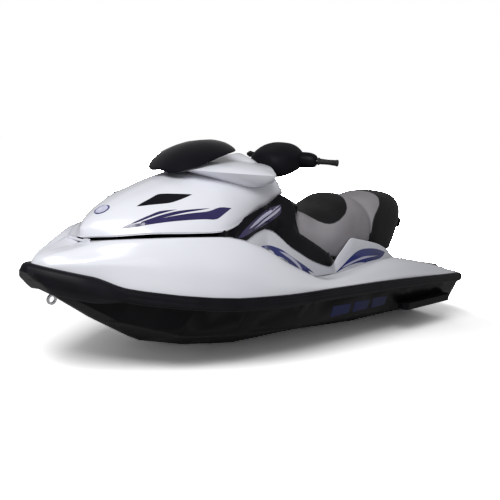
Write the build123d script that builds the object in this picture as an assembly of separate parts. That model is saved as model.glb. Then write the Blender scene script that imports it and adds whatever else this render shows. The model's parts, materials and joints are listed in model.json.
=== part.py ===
from build123d import *
import math
import os

os.makedirs("parts", exist_ok=True)

# Driving dimensions of the craft, in millimetres.
# X runs to the bow, Y to port, Z up from the flat of the keel. The origin is under the middle of its box.
craft_length = 3220.0
craft_beam = 1180.0
craft_height = 1120.0
keel_rise = 80.0

# Common clearances and walls
seam = 0.3
lid_gap = 6.0
moving_gap = 6.0
shell_wall = 14.0
pan_wall = 10.0

# Rub rail and bow bumper
rail_proud = 24.0
rail_height = 44.0
rail_lip_proud = 14.0
rail_lip_height = 62.0
bumper_proud = 44.0
bumper_height = 116.0
bumper_lip_height = 64.0
bumper_rake_angle = 45.0
bumper_tip_share = 0.492

# Footwells, rear deck and mats
well_floor = 320.0
well_front_radius = 60.0
mat_thickness = 6.0
mat_inset = 12.0

# Front storage bin, engine bay and engine
bin_length = 520.0
bin_width = 420.0
bin_depth = 230.0
engine_length = 620.0
engine_width = 380.0
engine_case_height = craft_height * 0.200
engine_head_width = 250.0
engine_head_height = craft_height * 0.105
engine_floor = craft_height * 0.063
engine_room = 20.0

# Jet pump, measured from its shaft
shaft_height = 140.0
shaft_radius = 12.0
bearing_clearance = 0.3
pump_bore_radius = 82.0
pump_wall = 14.0
pump_length = 270.0
impeller_radius = 76.5
impeller_hub_radius = 32.0
impeller_length = 80.0
blade_thickness = 6.0
blade_pitch_angle = 32.0
blade_count = 4
vane_thickness = 6.0
vane_count = 6
tunnel_length = 540.0
tunnel_half_width = 150.0
tunnel_height = 290.0
cone_length = 96.0
cone_exit_radius = 50.0
nozzle_reach = 80.0
nozzle_bore_radius = 44.0
nozzle_wall = 8.0
pivot_boss_radius = 14.0
bucket_radius = 138.0
bucket_wall = 6.0
bucket_half_width = 104.0
bucket_arm_width = 46.0
bucket_half_angle = 34.0
ride_plate_thickness = 14.0
grate_bar_width = 10.0
grate_bar_height = 16.0
grate_bar_pitch = 34.0
grate_length = 380.0
grate_width = 150.0

# Steering
column_rake = 23.0
column_radius = 26.0
stem_radius = 15.0
support_length = 60.0
bar_radius = 11.0
grip_radius = 17.0
grip_length = 118.0
bar_half_span = 350.0
bar_sweep = 20.0

# Eyes for ropes
eye_rod = 10.0
eye_bore_radius = 14.0
stern_eye_rod = 6.5
stern_eye_bore_radius = 8.0
stern_eye_gap = 1.0

overrun = 20.0


def along(share):
    """Place on X for a share of the length, 0 at the stern and 1 at the bow."""
    return (share - 0.5) * craft_length


def wide(share):
    return share * craft_beam / 2


def high(share):
    """Height for a share of the height over a base line, which runs a little below the keel."""
    return share * (craft_height + keel_rise) - keel_rise


def tall(share):
    """Thickness for a share of the height."""
    return share * (craft_height + keel_rise)


def both_sides(solid):
    return solid + mirror(solid, about=Plane.XZ)


def write(shape, node):
    export_step(shape, f"parts/{node}.step")


def write_pair(shape, node):
    write(shape, node + "_port")
    write(mirror(shape, about=Plane.XZ), node + "_starboard")


def section(x, side_points):
    """Closed section across the craft from one side's points, listed from the keel up."""
    port = [(x, y, z) for y, z in side_points]
    starboard = [(x, -y, z) for y, z in reversed(side_points) if y > 0]
    return make_face(Polyline(*port, *starboard, close=True))


def side_prism(points, half_width):
    """Prism across the craft under an outline in X and Z."""
    outline = make_face(Polyline(*[(x, 0, z) for x, z in points], close=True))
    return extrude(outline, amount=half_width, dir=(0, 1, 0), both=True)


def cylinder_along_x(radius, start, end, height=shaft_height):
    plane = Plane(origin=(start, 0, height), x_dir=(0, 1, 0), z_dir=(1, 0, 0))
    return extrude(plane * Circle(radius), amount=end - start)


# Outline of the craft in plan at the rub rail: a start and pairs of (arc middle, arc end),
# as shares of the length and of half the beam.
transom = rail_proud - craft_length / 2
stem_tip = craft_length / 2 - bumper_proud
transom_half_width_share = 0.915
plan_shares = [(0.130, 0.950), (0.270, 0.958), (0.430, 0.959), (0.570, 0.950), (0.750, 0.800),
               (0.912, 0.360), (0.962, 0.170)]

# Rub rail's line from the side: arc points as shares of the length and of the height.
rail_line_shares = [(-0.02, 0.322), (0.30, 0.361), (0.68, 0.372), (0.86, 0.402), (1.02, 0.490)]


def plan_face():
    middle = [(along(x), wide(y)) for x, y in plan_shares]
    points = [(transom, wide(transom_half_width_share)), *middle, (stem_tip, 0)]
    port = [ThreePointArc(points[i], points[i + 1], points[i + 2]) for i in range(0, len(points) - 2, 2)]
    stern = Line((points[0][0], -points[0][1]), points[0])
    starboard = [mirror(arc, about=Plane.XZ) for arc in port]
    return make_face([stern] + port + starboard)


def rail_line(lift):
    points = [(along(x), 0, high(z) + lift) for x, z in rail_line_shares]
    return ThreePointArc(*points[0:3]) + ThreePointArc(*points[2:5])


def between_rail_lines(low, high_lift):
    """Everything between the rail's line lowered and lifted by two heights."""
    bottom = rail_line(low)
    top = rail_line(high_lift)
    bow = Line(bottom @ 1, top @ 1)
    stern = Line(bottom @ 0, top @ 0)
    outline = make_face([*bottom.edges(), *top.edges(), bow, stern])
    return extrude(outline, amount=craft_beam, dir=(0, 1, 0), both=True)


def plan_prism(grow=0.0):
    face = plan_face()
    if grow:
        face = offset(face, amount=grow, kind=Kind.ARC)
    return extrude(face, amount=craft_height)


# Hull sections: place on X, then keel half width, keel height, chine half width, chine height,
# side half width, as shares of the length, half the beam and the height.
base_share = keel_rise / (craft_height + keel_rise)
hull_shares = [
    (0.000, 0.265, base_share, 0.800, 0.168, 0.960),
    (0.250, 0.265, base_share, 0.840, 0.208, 1.010),
    (0.420, 0.130, base_share, 0.850, 0.218, 1.020),
    (0.590, 0.100, base_share, 0.815, 0.224, 1.000),
    (0.710, 0.085, 0.108, 0.715, 0.230, 0.880),
    (0.800, 0.070, 0.163, 0.560, 0.240, 0.740),
    (0.880, 0.055, 0.275, 0.340, 0.298, 0.540),
    (0.940, 0.040, 0.371, 0.130, 0.392, 0.330),
    (0.990, 0.020, 0.460, 0.040, 0.485, 0.100),
]
hull_top_share = 0.62
side_bend_share = 0.45


def hull_body():
    rings = []
    for x, keel, keel_z, chine, chine_z, side in hull_shares:
        points = [
            (wide(keel), high(keel_z)),
            (wide(chine), high(chine_z)),
            (wide(side), high(chine_z + (hull_top_share - chine_z) * side_bend_share)),
            (wide(side), high(hull_top_share)),
        ]
        rings.append(section(along(x), points))
    body = loft(rings, ruled=True)
    above_ground = Pos(0, 0, craft_height / 2) * Box(craft_length, 2 * craft_beam, craft_height)
    below_rail = between_rail_lines(-craft_height, 0)
    return body & above_ground & plan_prism() & below_rail


# Deck sections: place on X, then side height, crest half width, crest height, inner half width,
# inner height and middle height, as shares of the length, half the beam and the height.
deck_shares = [
    (-0.010, 0.345, 0.860, 0.350, 0.500, 0.355, 0.355),
    (0.093, 0.372, 0.815, 0.402, 0.500, 0.395, 0.385),
    (0.264, 0.415, 0.800, 0.475, 0.500, 0.470, 0.460),
    (0.388, 0.410, 0.815, 0.450, 0.500, 0.448, 0.445),
    (0.512, 0.408, 0.825, 0.424, 0.500, 0.425, 0.430),
    (0.580, 0.428, 0.815, 0.475, 0.500, 0.480, 0.490),
    (0.655, 0.460, 0.765, 0.560, 0.500, 0.590, 0.600),
    (0.736, 0.505, 0.650, 0.622, 0.450, 0.625, 0.625),
    (0.807, 0.525, 0.555, 0.622, 0.350, 0.625, 0.625),
    (0.870, 0.530, 0.420, 0.612, 0.280, 0.590, 0.590),
    (0.916, 0.535, 0.230, 0.600, 0.140, 0.575, 0.575),
    (0.957, 0.520, 0.110, 0.545, 0.050, 0.550, 0.552),
    (0.992, 0.500, 0.020, 0.505, 0.010, 0.508, 0.510),
]
deck_side_shares = [1.00, 1.02, 1.03, 1.03, 1.02, 0.99, 0.92, 0.79, 0.66, 0.50, 0.35, 0.19, 0.05]


def deck_body():
    rings = []
    for row, side in zip(deck_shares, deck_side_shares):
        x, side_z, crest, crest_z, inner, inner_z, middle_z = row
        points = [
            (wide(side), 0),
            (wide(side), high(side_z) * 0.93),
            (wide(side) * 0.97, high(side_z)),
            (wide(crest), high(crest_z)),
            (wide(inner), high(inner_z)),
            (0, high(middle_z)),
        ]
        rings.append(section(along(x), points))
    body = loft(rings, ruled=True)
    above_rail = between_rail_lines(0, craft_height)
    return body & plan_prism() & above_rail


# Centre body between the footwells, from the rear deck to the console: place on X, base half width,
# top half width and top height, as shares of the length, half the beam and the height.
centre_shares = [
    (0.092, 0.400, 0.300, 0.420),
    (0.128, 0.430, 0.345, 0.480),
    (0.300, 0.470, 0.380, 0.518),
    (0.345, 0.480, 0.400, 0.465),
    (0.385, 0.500, 0.400, 0.450),
    (0.455, 0.460, 0.280, 0.580),
    (0.540, 0.560, 0.420, 0.560),
    (0.640, 0.640, 0.500, 0.560),
]


def centre_form(grow=0.0):
    rings = []
    for x, base, top, top_z in centre_shares:
        points = [
            (wide(base) + grow, well_floor - pan_wall / 2),
            (wide((base + top) / 2) + grow, (well_floor + high(top_z)) / 2),
            (wide(top) + grow, high(top_z) + grow),
        ]
        rings.append(section(along(x), points))
    return loft(rings, ruled=True)


# Footwell in plan: place on X, inner and outer half width.
well_shares = [(0.060, 0.30, 0.700), (0.264, 0.30, 0.690), (0.512, 0.30, 0.730), (0.610, 0.30, 0.700)]


def footwell(floor_z, grow):
    outer = [(along(x), wide(y_out) + grow) for x, y_in, y_out in well_shares]
    inner = [(along(x), wide(y_in) - grow) for x, y_in, y_out in reversed(well_shares)]
    outline = Polyline(*outer, *inner, close=True)
    floor = Plane(origin=(0, 0, floor_z))
    well = extrude(floor * make_face(outline), amount=craft_height)
    return fillet(well.edges().filter_by(Axis.Z).sort_by(Axis.X)[-2:], well_front_radius)


def rail_band(lift_low, lift_high, proud):
    ring = plan_prism(proud) - plan_prism(seam)
    return ring & between_rail_lines(lift_low, lift_high)


bumper_start = along(0.925)
lid_floor_share = 0.590
deck_joint = along(0.655)


def bow_half(start):
    length = craft_length
    return Pos(start + length / 2, 0, craft_height / 2) * Box(length, 2 * craft_beam, 2 * craft_height)


def rub_rail():
    rail = rail_band(-rail_height / 2, rail_height / 2, rail_proud)
    lip = rail_band(-rail_lip_height / 2, rail_lip_height / 2, rail_lip_proud)
    return (rail + lip) - bow_half(bumper_start - seam)


def bow_bumper():
    """Bumper round the bow, with its underside raked back from the tip."""
    nose = rail_band(-bumper_height / 2, bumper_height / 2, bumper_proud - rail_lip_proud / 2)
    lip = rail_band(-bumper_lip_height / 2, bumper_lip_height / 2, bumper_proud)
    tip, level = craft_length / 2, high(bumper_tip_share)
    setback = level / math.tan(math.radians(bumper_rake_angle))
    raked = side_prism([(tip, level), (tip - setback, 0), (tip + setback, 0), (tip + setback, level)], craft_beam)
    return ((nose + lip) & bow_half(bumper_start)) - raked


# Hood sections: place on X, then rim half width, rim height, shoulder half width, shoulder height
# and crown height, as shares of the length, half the beam and the height.
hood_shares = [
    (0.908, 0.060, 0.594, 0.040, 0.602, 0.610),
    (0.885, 0.200, 0.606, 0.120, 0.642, 0.668),
    (0.845, 0.400, 0.626, 0.254, 0.680, 0.745),
    (0.785, 0.540, 0.632, 0.340, 0.745, 0.812),
    (0.715, 0.605, 0.634, 0.430, 0.800, 0.857),
    (0.620, 0.455, 0.712, 0.365, 0.822, 0.892),
    (0.575, 0.385, 0.745, 0.270, 0.860, 0.918),
    (0.538, 0.320, 0.775, 0.225, 0.848, 0.896),
]


def hood_form(inset=0.0, drop=0.0):
    rings = []
    for x, rim, rim_z, shoulder, shoulder_z, crown_z in hood_shares:
        points = [
            (wide(rim) - inset, high(rim_z) - drop),
            (wide(shoulder) - inset, high(shoulder_z) - drop),
            (0, high(crown_z) - drop),
        ]
        rings.append(section(along(x), points))
    return loft(rings, ruled=True)


hood_front = along(0.895)
hood_rear_wall = along(0.545)


def hood_shell():
    """Outer skin of the hood, open underneath."""
    cavity = hood_form(inset=shell_wall, drop=shell_wall)
    trim = Pos((hood_front + hood_rear_wall) / 2 - shell_wall, 0, craft_height / 2)
    room = trim * Box(hood_front - hood_rear_wall - 2 * shell_wall, craft_beam, craft_height)
    return hood_form() - (cavity & room)


# Console under the back of the hood: place on X, base half width, top half width, top height.
console_shares = [
    (0.712, 0.600, 0.600, 0.624),
    (0.620, 0.520, 0.440, 0.700),
    (0.538, 0.420, 0.310, 0.764),
    (0.500, 0.380, 0.260, 0.745),
    (0.462, 0.340, 0.230, 0.690),
]
console_foot_share = 0.48


def console_form(grow=0.0):
    rings = []
    for x, base, top, top_z in console_shares:
        points = [(wide(base) + grow, high(console_foot_share)), (wide(top) + grow, high(top_z))]
        rings.append(section(along(x), points))
    return loft(rings, ruled=True)


def storage_bin():
    middle = along(0.775)
    top = Pos(middle, 0, high(0.620) - bin_depth / 2 + overrun)
    return top * Box(bin_length, bin_width, bin_depth + 2 * overrun)


# Visor over the hood: outline in plan as (place on X, half width), front first.
visor_shares = [(0.768, 0.00), (0.756, 0.23), (0.712, 0.34), (0.664, 0.31), (0.645, 0.15), (0.642, 0.00)]
visor_foot_shares = (0.660, 0.030, 0.100)
visor_front_height = high(0.866)
visor_rear_height = high(0.992)
visor_thickness = 16.0


def visor():
    port = [(along(x), wide(y)) for x, y in visor_shares]
    starboard = [(x, -y) for x, y in reversed(port) if y > 0]
    face = make_face(Polyline(*port, *starboard, close=True))
    front, rear = along(visor_shares[0][0]), along(visor_shares[-1][0])
    tall = extrude(face, amount=2 * craft_height)
    slab = side_prism(
        [
            (front, visor_front_height),
            (rear, visor_rear_height),
            (rear, visor_rear_height - visor_thickness),
            (front, visor_front_height - visor_thickness),
        ],
        craft_beam,
    )
    foot_place, foot_length_share, foot_half = visor_foot_shares
    foot = Pos(along(foot_place), 0, craft_height / 2) * Box(
        foot_length_share * craft_length, 2 * wide(foot_half), craft_height
    )
    below = side_prism(
        [
            (front, visor_front_height - visor_thickness / 2),
            (rear, visor_rear_height - visor_thickness / 2),
            (rear, high(0.7)),
            (front, high(0.7)),
        ],
        craft_beam,
    )
    return (tall & slab) + ((foot & below) - hood_form())


# Mirror pod on the port side: stations across as (half width, front X, rear X, middle height, thickness).
mirror_shares = [
    (0.16, 0.735, 0.560, 0.850, 0.074),
    (0.34, 0.714, 0.590, 0.862, 0.094),
    (0.52, 0.680, 0.615, 0.862, 0.078),
    (0.650, 0.652, 0.634, 0.859, 0.022),
]
mirror_glass_thickness = 4.0


def mirror_form():
    rings = []
    for y, front, rear, middle, thick in mirror_shares:
        nose = along(front)
        tail = along(rear)
        half = tall(thick) / 2
        points = [
            (nose, wide(y), high(middle)),
            ((nose + tail) / 2, wide(y), high(middle) + half),
            (tail, wide(y), high(middle) + half * 0.8),
            (tail, wide(y), high(middle) - half * 0.6),
            ((nose + tail) / 2, wide(y), high(middle) - half),
        ]
        rings.append(make_face(Polyline(*points, close=True)))
    return loft(rings, ruled=True)


def mirror_glass():
    """Glass on the back of the port pod."""
    y, front, rear, middle, thick = mirror_shares[1]
    tip = mirror_shares[2]
    height = tall(thick) * 0.45
    low = (along(rear), wide(y), high(middle))
    far = (along(tip[2]), wide(tip[0]), high(tip[3]))
    across = Vector(*far) - Vector(*low)
    plane = Plane(
        origin=Vector(*low) + across * 0.5,
        x_dir=across,
        z_dir=Vector(0, 0, 1).cross(across),
    )
    glass = extrude(plane * RectangleRounded(across.length * 0.8, height, height / 3), amount=mirror_glass_thickness)
    return glass - mirror_form()


# Hood vent on the port side: corners as (place on X, half width).
vent_shares = [(0.838, 0.150), (0.798, 0.160), (0.748, 0.265), (0.788, 0.315)]
vent_depth = 9.0


def vent_prism(shrink=0.0):
    outline = make_face(Polyline(*[(along(x), wide(y)) for x, y in vent_shares], close=True))
    if shrink:
        outline = offset(outline, amount=-shrink, kind=Kind.INTERSECTION)
    return extrude(outline, amount=craft_height)


def hood_parts():
    skin = hood_form()
    sunk = hood_form(inset=vent_depth, drop=vent_depth)
    deep = hood_form(inset=shell_wall, drop=shell_wall)
    vent = (vent_prism(seam) & sunk) - deep
    shell = hood_shell() - both_sides(vent_prism())
    pod = mirror_form() - skin
    return shell, vent, pod


# Black side panel on the port flank of the console, and the strip that follows the footwell.
# Corners as (place on X, height).
panel_shares = [(0.716, 0.622), (0.538, 0.762), (0.500, 0.742), (0.600, 0.640), (0.690, 0.590)]
strip_shares = [(0.600, 0.640), (0.500, 0.742), (0.462, 0.665), (0.390, 0.490), (0.382, 0.470), (0.384, 0.440),
                (0.405, 0.430), (0.530, 0.547), (0.593, 0.615)]
panel_thickness = 12.0


def side_panel(carriers):
    """Skin on the port flank of the console and the centre body, seen as a slanted band and a strip."""
    grown = console_form(panel_thickness) + centre_form(panel_thickness)
    band = side_prism([(along(x), high(z)) for x, z in panel_shares], craft_beam)
    strip = side_prism([(along(x), high(z)) for x, z in strip_shares], craft_beam)
    port = Pos(0, craft_beam / 2 + wide(0.1), craft_height / 2) * Box(craft_length, craft_beam, craft_height)
    return largest((grown & (band + strip) & port) - carriers)


# Seat sections, nose first: place on X, base height, base half width, side half width, side height
# and top height, as shares of the length, the height and half the beam.
driver_shares = [
    (0.457, 0.590, 0.150, 0.150, 0.616, 0.648),
    (0.430, 0.580, 0.240, 0.240, 0.630, 0.668),
    (0.380, 0.480, 0.370, 0.370, 0.645, 0.724),
    (0.330, 0.440, 0.390, 0.380, 0.680, 0.772),
    (0.275, 0.460, 0.370, 0.360, 0.670, 0.750),
    (0.238, 0.480, 0.360, 0.340, 0.660, 0.725),
]
passenger_shares = [
    (0.235, 0.480, 0.360, 0.340, 0.660, 0.730),
    (0.190, 0.480, 0.355, 0.340, 0.690, 0.775),
    (0.140, 0.480, 0.345, 0.330, 0.690, 0.770),
    (0.103, 0.480, 0.330, 0.310, 0.650, 0.730),
    (0.086, 0.520, 0.300, 0.270, 0.600, 0.650),
]


seat_top_share = 0.45


def seat_form(table, grow=0.0):
    rings = []
    for x, base_z, base, side, side_z, top_z in table:
        points = [
            (wide(base) + grow, high(base_z) - grow),
            (wide(side) + wide(0.03) + grow, high((base_z + side_z) / 2)),
            (wide(side) + grow, high(side_z)),
            (wide(side) * seat_top_share + grow, high(top_z) + grow),
        ]
        rings.append(section(along(x), points))
    return loft(rings, ruled=True)


def seat_cushion(table, carriers):
    return largest(seat_form(table) - carriers)


def largest(shape):
    return shape.solids().sort_by(SortBy.VOLUME)[-1]


# Grab handle behind the passenger seat
handle_length = 170.0
handle_width = 300.0
handle_rod = 30.0
handle_lean = 62.0
handle_shares = (0.090, 0.590)


def grab_handle():
    plane = Plane(origin=(along(handle_shares[0]), 0, high(handle_shares[1]))).rotated((0, handle_lean, 0))
    ring = RectangleRounded(handle_length, handle_width, handle_length / 3)
    hole = RectangleRounded(handle_length - 2 * handle_rod, handle_width - 2 * handle_rod, handle_length / 5)
    loop = extrude(plane * (ring - hole), amount=handle_rod / 2, both=True)
    return largest(loop - seat_form(passenger_shares) - centre_form(seam))


# Steering head: its axis leans back from the console, and all of it turns about that axis.
column_foot = Vector(along(0.510), 0, high(0.762))
head_height = high(0.940)
column_rise = head_height - column_foot.Z
column_length = column_rise / math.cos(math.radians(column_rake))
bar_place = column_foot.X - column_rise * math.tan(math.radians(column_rake))


def column_plane():
    lean = math.radians(column_rake)
    return Plane(origin=column_foot, x_dir=(0, 1, 0), z_dir=(-math.sin(lean), 0, math.cos(lean)))


def column_cylinder(radius, start, length):
    return extrude(column_plane().offset(start) * Circle(radius), amount=length)


# Steering pad sections: place on X, half width, low and high edge, as shares.
pad_shares = [
    (0.534, 0.120, 0.908, 0.962),
    (0.510, 0.215, 0.868, 1.002),
    (0.478, 0.255, 0.866, 1.015),
    (0.446, 0.230, 0.876, 1.002),
    (0.426, 0.160, 0.914, 0.972),
]


def steering_pad():
    rings = []
    for x, half, low, top in pad_shares:
        middle = (low + top) / 2
        points = [(wide(half) * 0.7, high(low)), (wide(half), high(middle)), (wide(half) * 0.6, high(top))]
        rings.append(section(along(x), points))
    return loft(rings, ruled=True)


def bar_cylinder(radius, start, end):
    """Cylinder along the port half of the bar, which is swept back."""
    sweep = math.radians(bar_sweep)
    away = Vector(-math.sin(sweep), math.cos(sweep), 0)
    origin = Vector(bar_place, 0, head_height) + away * start
    return extrude(Plane(origin=origin, x_dir=(0, 0, 1), z_dir=away) * Circle(radius), amount=end - start)


def whole_bar(radius):
    middle = Pos(bar_place, 0, head_height) * Sphere(radius)
    return both_sides(bar_cylinder(radius, 0, bar_half_span - moving_gap)) + middle


housing_length = 90.0
housing_radius = 27.0
lever_length = 110.0
lever_thickness = 9.0
lever_reach = 46.0


def steering_parts():
    stem = column_cylinder(stem_radius, seam, column_length)
    frame = stem + whole_bar(bar_radius)
    pad = steering_pad() - column_cylinder(column_radius + moving_gap, -column_length, column_length + support_length)
    pad = pad - column_cylinder(stem_radius + seam, 0, column_length + seam)
    pad = largest(pad - whole_bar(bar_radius + seam))
    grip_start = bar_half_span - grip_length
    bore = bar_cylinder(bar_radius + seam, 0, bar_half_span - moving_gap + seam)
    grip = bar_cylinder(grip_radius, grip_start, bar_half_span) - bore
    housing_start = grip_start - housing_length - seam
    housing = bar_cylinder(housing_radius, housing_start, grip_start - seam)
    housing = largest(housing - bore - pad)
    return frame, pad, grip, housing


def steering_support(carriers):
    """Tube on the console that carries the steering stem in a bearing."""
    tube = column_cylinder(column_radius, -support_length, 2 * support_length)
    bore = column_cylinder(stem_radius + bearing_clearance, 0, 2 * support_length)
    return largest(tube - bore - carriers)


def throttle_lever():
    """Finger lever ahead of the starboard grip."""
    root = bar_half_span - grip_length - housing_length / 2
    arm = Pos(lever_reach, root + lever_length / 2, 0) * Box(lever_thickness, lever_length, 2 * lever_thickness)
    neck = Pos((housing_radius + lever_reach) / 2, root, 0) * Box(
        lever_reach - housing_radius, 2 * lever_thickness, 2 * lever_thickness
    )
    placed = Pos(bar_place, 0, head_height) * ((arm + neck).rotate(Axis.Z, bar_sweep))
    return mirror(placed, about=Plane.XZ)


# Jet pump along the shaft, from the tunnel's front wall to the stern
pump_front = transom + tunnel_length
pump_rear = pump_front - pump_length
cone_rear = pump_rear - cone_length
nozzle_pivot_gap = 27.0
nozzle_pivot = cone_rear - nozzle_pivot_gap
bucket_pivot_lead = 5.0
bucket_pivot = cone_rear + bucket_pivot_lead
duct_length = 490.0
duct_lead = 70.0
duct_half_width = grate_width / 2
duct_ceiling_length = 150.0


def tunnel():
    height = tunnel_height + overrun
    return Pos(transom - overrun + (tunnel_length + overrun) / 2, 0, tunnel_height - height / 2) * Box(
        tunnel_length + overrun, 2 * tunnel_half_width, height
    )


def intake_duct():
    half = pump_bore_radius - seam
    low, top = shaft_height - half, shaft_height + half
    return side_prism(
        [
            (pump_front - overrun, low),
            (pump_front - overrun, top),
            (pump_front + duct_ceiling_length, top),
            (pump_front + duct_length, 0),
            (pump_front + duct_length, -overrun),
            (pump_front + duct_lead, -overrun),
            (pump_front + duct_lead, 0),
        ],
        duct_half_width,
    )


def pump_housing():
    tube = cylinder_along_x(pump_bore_radius + pump_wall, pump_rear, pump_front - seam)
    tube = tube - cylinder_along_x(pump_bore_radius, pump_rear, pump_front)
    hub_length = pump_length - impeller_length - 2 * moving_gap - overrun
    hub = cylinder_along_x(impeller_hub_radius, pump_rear, pump_rear + hub_length)
    vane = Pos(pump_rear + hub_length / 2, 0, shaft_height) * Box(
        hub_length, vane_thickness, 2 * pump_bore_radius + pump_wall
    )
    vanes = [
        vane.rotate(Axis((0, 0, shaft_height), (1, 0, 0)), 180.0 * i / (vane_count / 2))
        for i in range(vane_count // 2)
    ]
    ring = tube + hub
    for blade in vanes:
        ring = ring + blade
    return ring - cylinder_along_x(shaft_radius + bearing_clearance, pump_rear - overrun, pump_front)


def impeller():
    rear = pump_front - impeller_length - moving_gap
    front = rear + impeller_length
    hub = cylinder_along_x(impeller_hub_radius, rear, front)
    rim = cylinder_along_x(impeller_radius, rear, front)
    blade = Pos(0, 0, impeller_radius / 2) * Box(impeller_length, blade_thickness, impeller_radius)
    blade = blade.rotate(Axis.Z, blade_pitch_angle)
    wheel = hub
    for i in range(blade_count):
        turned = Pos((rear + front) / 2, 0, shaft_height) * blade.rotate(Axis.X, 360.0 * i / blade_count)
        wheel = wheel + (turned & rim)
    return wheel - cylinder_along_x(shaft_radius + seam, rear - overrun, front + overrun)


def cone(front_radius, rear_radius, front, rear):
    start = Plane(origin=(rear, 0, shaft_height), x_dir=(0, 1, 0), z_dir=(1, 0, 0))
    end = Plane(origin=(front, 0, shaft_height), x_dir=(0, 1, 0), z_dir=(1, 0, 0))
    return loft([start * Circle(rear_radius), end * Circle(front_radius)])


fork_thickness = 8.0
fork_width = 34.0
pin_radius = 7.0


def pump_nozzle():
    """Converging nozzle with the fork that carries the steering nozzle and the bosses for the bucket."""
    outer = cone(pump_bore_radius + pump_wall, cone_exit_radius + nozzle_wall, pump_rear - seam, cone_rear)
    inner = cone(pump_bore_radius, cone_exit_radius, pump_rear + overrun, cone_rear - overrun)
    fork_level = nozzle_bore_radius + nozzle_wall + 2 * moving_gap
    fork_start = nozzle_pivot - fork_width / 2
    fork_end = cone_rear + fork_width
    fork_length = fork_end - fork_start
    body = outer
    for side in (1, -1):
        level = shaft_height + side * (fork_level + fork_thickness / 2)
        body = body + Pos((fork_start + fork_end) / 2, 0, level) * Box(fork_length, fork_width, fork_thickness)
    boss = Plane(origin=(bucket_pivot, 0, shaft_height), x_dir=(1, 0, 0), z_dir=(0, 1, 0))
    body = body + extrude(boss * Circle(pivot_boss_radius), amount=bucket_half_width - bucket_wall - seam, both=True)
    body = body + extrude(boss * Circle(pin_radius), amount=bucket_half_width, both=True)
    hole = Plane(origin=(nozzle_pivot, 0, shaft_height))
    body = body - extrude(hole * Circle(pin_radius + bearing_clearance), amount=craft_height, both=True)
    return body - inner


def jet_nozzle():
    """Steering nozzle with its two upright pins."""
    rear = nozzle_pivot - nozzle_reach
    tube = cylinder_along_x(nozzle_bore_radius + nozzle_wall, rear, nozzle_pivot)
    upright = Plane(origin=(nozzle_pivot, 0, shaft_height))
    boss_level = nozzle_bore_radius + nozzle_wall + moving_gap
    fork_level = boss_level + moving_gap
    tube = tube + extrude(upright * Circle(pivot_boss_radius), amount=boss_level + moving_gap - seam, both=True)
    tube = tube + extrude(upright * Circle(pin_radius), amount=fork_level + fork_thickness, both=True)
    return tube - cylinder_along_x(nozzle_bore_radius, rear - overrun, nozzle_pivot + pivot_boss_radius + overrun)


def reverse_bucket():
    """Curved bucket with a cheek each side, stowed above the steering nozzle."""
    pivot = Plane(origin=(bucket_pivot, 0, shaft_height), x_dir=(1, 0, 0), z_dir=(0, 1, 0))
    outer = extrude(pivot * Circle(bucket_radius), amount=bucket_half_width, both=True)
    inner = extrude(pivot * Circle(bucket_radius - bucket_wall), amount=bucket_half_width - bucket_wall, both=True)
    reach = 2 * bucket_radius
    spread = math.tan(math.radians(bucket_half_angle)) * reach
    wedge = side_prism(
        [
            (bucket_pivot - bucket_arm_width / 2, shaft_height - pivot_boss_radius - bucket_wall),
            (bucket_pivot + bucket_arm_width / 2, shaft_height - pivot_boss_radius - bucket_wall),
            (bucket_pivot + spread * 0.6, shaft_height + reach),
            (bucket_pivot - spread, shaft_height + reach),
        ],
        craft_beam,
    )
    return (outer - inner) & wedge - extrude(pivot * Circle(pin_radius + bearing_clearance), amount=craft_beam, both=True)


def ride_plate():
    length = tunnel_length - 2 * seam
    middle = (transom + pump_front) / 2
    return Pos(middle, 0, ride_plate_thickness / 2) * Box(length, 2 * (tunnel_half_width - seam), ride_plate_thickness)


def intake_grate():
    start = pump_front + duct_lead + seam
    end = start + grate_length - 2 * seam
    middle = (start + end) / 2
    level = grate_bar_height / 2
    half = duct_half_width - seam - grate_bar_width / 2
    grate = Pos(start + grate_bar_width / 2, 0, level) * Box(grate_bar_width, grate_width - 2 * seam, grate_bar_height)
    grate = grate + Pos(end - grate_bar_width / 2, 0, level) * Box(
        grate_bar_width, grate_width - 2 * seam, grate_bar_height
    )
    count = int(half // grate_bar_pitch)
    for i in range(-count, count + 1):
        bar = Box(end - start, grate_bar_width, grate_bar_height)
        grate = grate + Pos(middle, i * half / count, level) * bar
    return grate


engine_middle = along(0.420)


def engine_block(room=0.0):
    """Plain block at the engine's place: a crankcase with a narrower head. Room is added beside and above it."""
    length = engine_length + 2 * room
    case = Pos(engine_middle, 0, engine_floor + engine_case_height / 2) * Box(
        length, engine_width + 2 * room, engine_case_height
    )
    head_height = engine_head_height + room
    head = Pos(engine_middle, 0, engine_floor + engine_case_height + head_height / 2) * Box(
        length, engine_head_width + 2 * room, head_height
    )
    return case + head


# Bow eye on the stem and stern eyes on the transom
bow_eye_place = (along(0.9506), 0, high(0.3717))
stern_eye_shares = (0.62, 0.25)


def rope_eye(place, bore, rod):
    x, y, z = place
    plane = Plane(origin=(x, y, z), x_dir=(1, 0, 0), z_dir=(0, 1, 0))
    return extrude(plane * (Circle(bore + rod) - Circle(bore)), amount=rod / 2, both=True)


# Sponson on the port side of the hull
sponson_shares = (0.160, 0.965, 0.225)
sponson_length = 640.0
sponson_width = 60.0
sponson_height = 44.0


def sponson(hull):
    x, y, z = sponson_shares
    block = Pos(along(x), wide(y) - sponson_width / 2, high(z)) * Box(sponson_length, sponson_width, sponson_height)
    block = chamfer(block.edges().filter_by(Axis.Z).sort_by(Axis.Y)[-2:], sponson_width / 2)
    return largest(block - hull)


def rear_mat(deck_skin):
    """Mat that lies on the rear deck and follows its slope."""
    rear = transom + mat_inset
    front = along(0.084)
    region = Pos((rear + front) / 2, 0, craft_height / 2) * Box(front - rear, wide(1.44), craft_height)
    return largest(((Pos(0, 0, mat_thickness) * deck_skin) - deck_skin) & region)


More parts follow.
